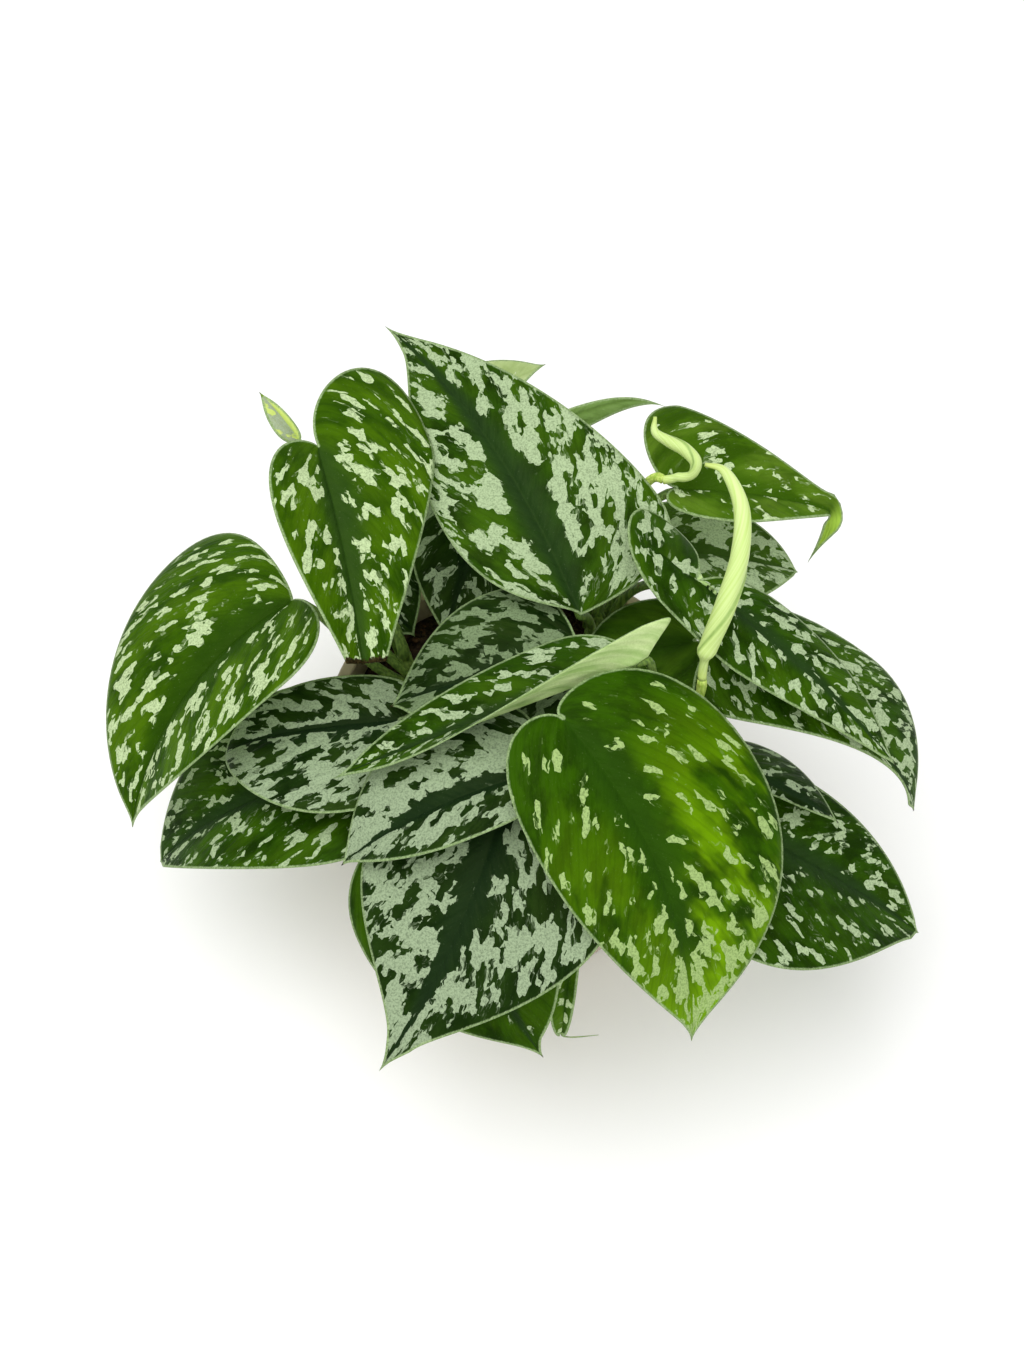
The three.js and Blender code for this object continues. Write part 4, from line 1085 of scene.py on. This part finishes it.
def arc_points(centre, radius, start, end):
    """Points of a round corner, angles in degrees."""
    angles = np.radians(np.linspace(start, end, CORNER_POINTS))
    return [(centre[0] + radius * math.cos(a), centre[1] + radius * math.sin(a)) for a in angles]


def add_pot():
    collar = POT_HEIGHT - COLLAR_HEIGHT
    inner = POT_RIM_R - COLLAR_STEP - POT_WALL
    rim = POT_RIM_R - EDGE_ROUND
    profile = [(POT_BASE_R - 5, UNDERSIDE), (POT_BASE_R - 3.4, 0)]
    profile += arc_points((POT_BASE_R - FOOT_ROUND, FOOT_ROUND), FOOT_ROUND, -90, -10)
    profile += [(pot_radius(z), z) for z in (14, 30, 46, 62, collar - 1.2)]
    profile += [(pot_radius(collar) + 0.2, collar - 0.3), (rim, collar)]
    profile += arc_points((rim, collar + EDGE_ROUND), EDGE_ROUND, -80, 0)
    profile += arc_points((rim, POT_HEIGHT - EDGE_ROUND), EDGE_ROUND, 0, 90)
    profile += arc_points((inner + LIP_ROUND, POT_HEIGHT - LIP_ROUND), LIP_ROUND, 90, 180)
    profile += [(inner, collar + 2), (inner, collar)]
    profile += [(pot_radius(z) - POT_WALL, z) for z in (62, 30, POT_FLOOR + 1.5)]
    profile += [(pot_radius(POT_FLOOR) - POT_WALL - 1.5, POT_FLOOR)]
    mesh = Mesh()
    rings = [mesh.ring(r, z, POT_SIDES) for r, z in profile]
    mesh.loft(rings, POT_SIDES, 0)
    add_pot_floor(mesh, (rings[0], rings[-1]), (UNDERSIDE, POT_FLOOR))
    mesh.build("pot_look", [pot_plastic()], "pot_plastic", "pot")


def add_pot_floor(mesh, walls, heights):
    """The floor's lower and upper face, both rings of wedges round the drain holes, and the holes' walls."""
    sides = POT_SIDES // DRAIN_HOLES
    quarter = sides // 4
    centres = [mesh.add([(0, 0, z)]) for z in heights]
    for h in range(DRAIN_HOLES):
        turn = 2 * math.pi * h / DRAIN_HOLES
        b = turn + np.linspace(-math.pi, math.pi, sides, endpoint=False)
        x = DRAIN_CIRCLE_R * math.cos(turn) + DRAIN_R * np.cos(b)
        y = DRAIN_CIRCLE_R * math.sin(turn) + DRAIN_R * np.sin(b)
        holes = [mesh.add(np.stack([x, y, np.full(sides, z)], 1)) for z in heights]
        mesh.loft(holes[::-1], sides, 0)
        first = h * sides - sides // 2
        for wall, centre, hole, up in zip(walls, centres, holes, (False, True)):
            rim = [wall + (first + k) % POT_SIDES for k in range(sides + 1)]
            outer = [hole + k for k in range(quarter, 3 * quarter + 1)]
            inner = [hole + k % sides for k in range(3 * quarter, 5 * quarter + 1)]
            add_strip(mesh, rim, outer, up)
            add_strip(mesh, [rim[0]] + inner[::-1] + [rim[-1]], [centre], up)


def add_strip(mesh, far, near, up):
    """Triangles between two lines of points, each running the same way."""
    n, m = len(far) - 1, len(near) - 1
    i = j = 0
    while i < n or j < m:
        if j == m or (i < n and i / n <= j / m):
            face = [far[i], far[i + 1], near[j]]
            i += 1
        else:
            face = [far[i], near[j + 1], near[j]]
            j += 1
        mesh.face(face if up else face[::-1], 0)


def add_soil():
    """Loose potting mix: a lumpy top, bark crumbs and a few grains of perlite."""
    mesh = Mesh()
    draw = random.Random(7)
    edge = pot_radius(POT_HEIGHT - COLLAR_HEIGHT) - POT_WALL - 0.4
    waves = []
    for _ in range(SOIL_WAVES):
        waves.append((draw.uniform(0.15, 0.9), draw.uniform(0, 2 * math.pi), draw.uniform(0, 6.28)))
    starts = []
    a = around(SOIL_SIDES)
    for k in range(SOIL_RINGS + 1):
        r = edge * max(k, 0.02) / SOIL_RINGS
        x, y = r * np.cos(a), r * np.sin(a)
        z = np.full(SOIL_SIDES, SOIL_TOP - SOIL_SINK)
        for pitch, heading, phase in waves:
            z += WAVE_HEIGHT * np.sin(pitch * (x * math.cos(heading) + y * math.sin(heading)) + phase)
        starts.append(mesh.ring(r, z - SOIL_SINK * smooth(edge - 5, edge, r), SOIL_SIDES))
    starts.append(mesh.ring(edge - 0.2, SOIL_TOP - SOIL_DEPTH, SOIL_SIDES))
    mesh.loft(starts, SOIL_SIDES, 0, turned=True)
    mesh.cap(starts[0], SOIL_SIDES, 0)
    mesh.cap(starts[-1], SOIL_SIDES, 0, up=False)
    for count, size, kind, flat in CRUMBS:
        for _ in range(count):
            r, turn = edge * math.sqrt(draw.uniform(0.005, 0.93)), draw.uniform(0, 2 * math.pi)
            centre = np.array((r * math.cos(turn), r * math.sin(turn), SOIL_TOP + draw.uniform(-0.4, 0.5)))
            add_crumb(mesh, draw, centre, draw.uniform(*size), kind, flat)
    mesh.build("potting_mix_look", [SOIL, BARK, PERLITE], "potting_mix", "soil")


def add_crumb(mesh, draw, centre, size, kind, flat):
    """One uneven crumb: a small ball of a few facets, squashed and turned."""
    turn = draw.uniform(0, 2 * math.pi)
    long = draw.uniform(0.7, 1.5)
    a = around(CRUMB_SIDES)
    starts = []
    for radius, height in CRUMB_LAYERS:
        r = 0.5 * size * radius * np.array([draw.uniform(0.8, 1.2) for _ in a])
        x, y = r * long * np.cos(a), r * np.sin(a)
        z = np.full(CRUMB_SIDES, 0.5 * size * flat * height)
        ring = (x * math.cos(turn) - y * math.sin(turn), x * math.sin(turn) + y * math.cos(turn), z)
        starts.append(mesh.add(centre + np.stack(ring, 1)))
    mesh.loft(starts, CRUMB_SIDES, kind)
    mesh.cap(starts[0], CRUMB_SIDES, kind, up=False)
    mesh.cap(starts[-1], CRUMB_SIDES, kind)


# ---------- camera, light and floor, in metres ----------
CAMERA_ELEVATION = 58
CAMERA_DISTANCE = 0.6
CAMERA_AIM = Vector((-0.003, 0, 0.117))
IMAGE_HEIGHT = 1365
FOCAL_PIXELS = 2040
SENSOR = 36
PLANT_MIDDLE = Vector((0, 0, 0.1))
LIGHTS = {    # place, size and power
    "key": ((-0.3, -0.1, 1.5), 1.3, 17),
    "fill": ((0.5, -1.1, 0.9), 0.9, 5),
}
SKY_STRENGTH = 0.7
FLOOR_HALF = 3.0


def add_camera():
    data = bpy.data.cameras.new("camera")
    data.sensor_width = SENSOR
    data.lens = FOCAL_PIXELS * SENSOR / IMAGE_HEIGHT
    data.clip_start = 0.01
    camera = add_object("camera", data)
    tilt = math.radians(CAMERA_ELEVATION)
    back = Vector((0, -math.cos(tilt), math.sin(tilt)))
    camera.location = CAMERA_AIM + back * CAMERA_DISTANCE
    camera.rotation_euler = back.to_track_quat("Z", "Y").to_euler()
    bpy.context.scene.camera = camera


def add_studio():
    world = bpy.data.worlds.new("studio")
    world.use_nodes = True
    sky = world.node_tree.nodes["Background"].inputs
    sky["Color"].default_value = (1, 1, 1, 1)
    sky["Strength"].default_value = SKY_STRENGTH
    bpy.context.scene.world = world
    for name, (place, size, power) in LIGHTS.items():
        data = bpy.data.lights.new(name, "AREA")
        data.size = size
        data.energy = power
        light = add_object(name, data)
        light.location = place
        light.rotation_euler = (Vector(place) - PLANT_MIDDLE).to_track_quat("Z", "Y").to_euler()
    mesh = bpy.data.meshes.new("floor")
    corners = [(x * FLOOR_HALF, y * FLOOR_HALF, 0) for x, y in ((-1, -1), (1, -1), (1, 1), (-1, 1))]
    mesh.from_pydata(corners, [], [(0, 1, 2, 3)])
    mesh.materials.append(studio_floor())
    floor = add_object("floor", mesh)
    bpy.context.scene.view_settings.view_transform = "Standard"


# ---------- the whole plant ----------
add_camera()
add_studio()
SLOT_OF = {part["node"]: part["material_slot"] for part in frame["record"]["subparts"]}
UNDER = blade_under("blade_under")
UNDER_YOUNG = blade_under("young_blade_under", young=True)
STALK = stem_skin("stalk", (72, 100, 36), (110, 138, 58))
STALK_YOUNG = stem_skin("young_stalk", (150, 182, 66), (196, 216, 110), (160, 170, 70))
VINE_SKIN = stem_skin("vine_skin", (84, 108, 42), (120, 146, 66))
ROOT_SKIN = stem_skin("root_skin", (92, 66, 40), (140, 108, 72))
SHOOT = shoot_skin()
SOIL = soil_matter("peat", (26, 18, 13), (66, 48, 34))
BARK = soil_matter("bark", (48, 30, 18), (104, 74, 48))
PERLITE = soil_matter("perlite", (196, 190, 176), (228, 224, 214))

for number, (leaf_name, values) in enumerate(LEAVES.items()):
    add_leaf(leaf_name, values, number + 1)
for shoot_name, values in ROLLED_SHOOTS.items():
    add_rolled_shoot(shoot_name, values)
for number, vine_name in enumerate(VINES):
    add_vine(vine_name, number)
add_pot()
add_soil()
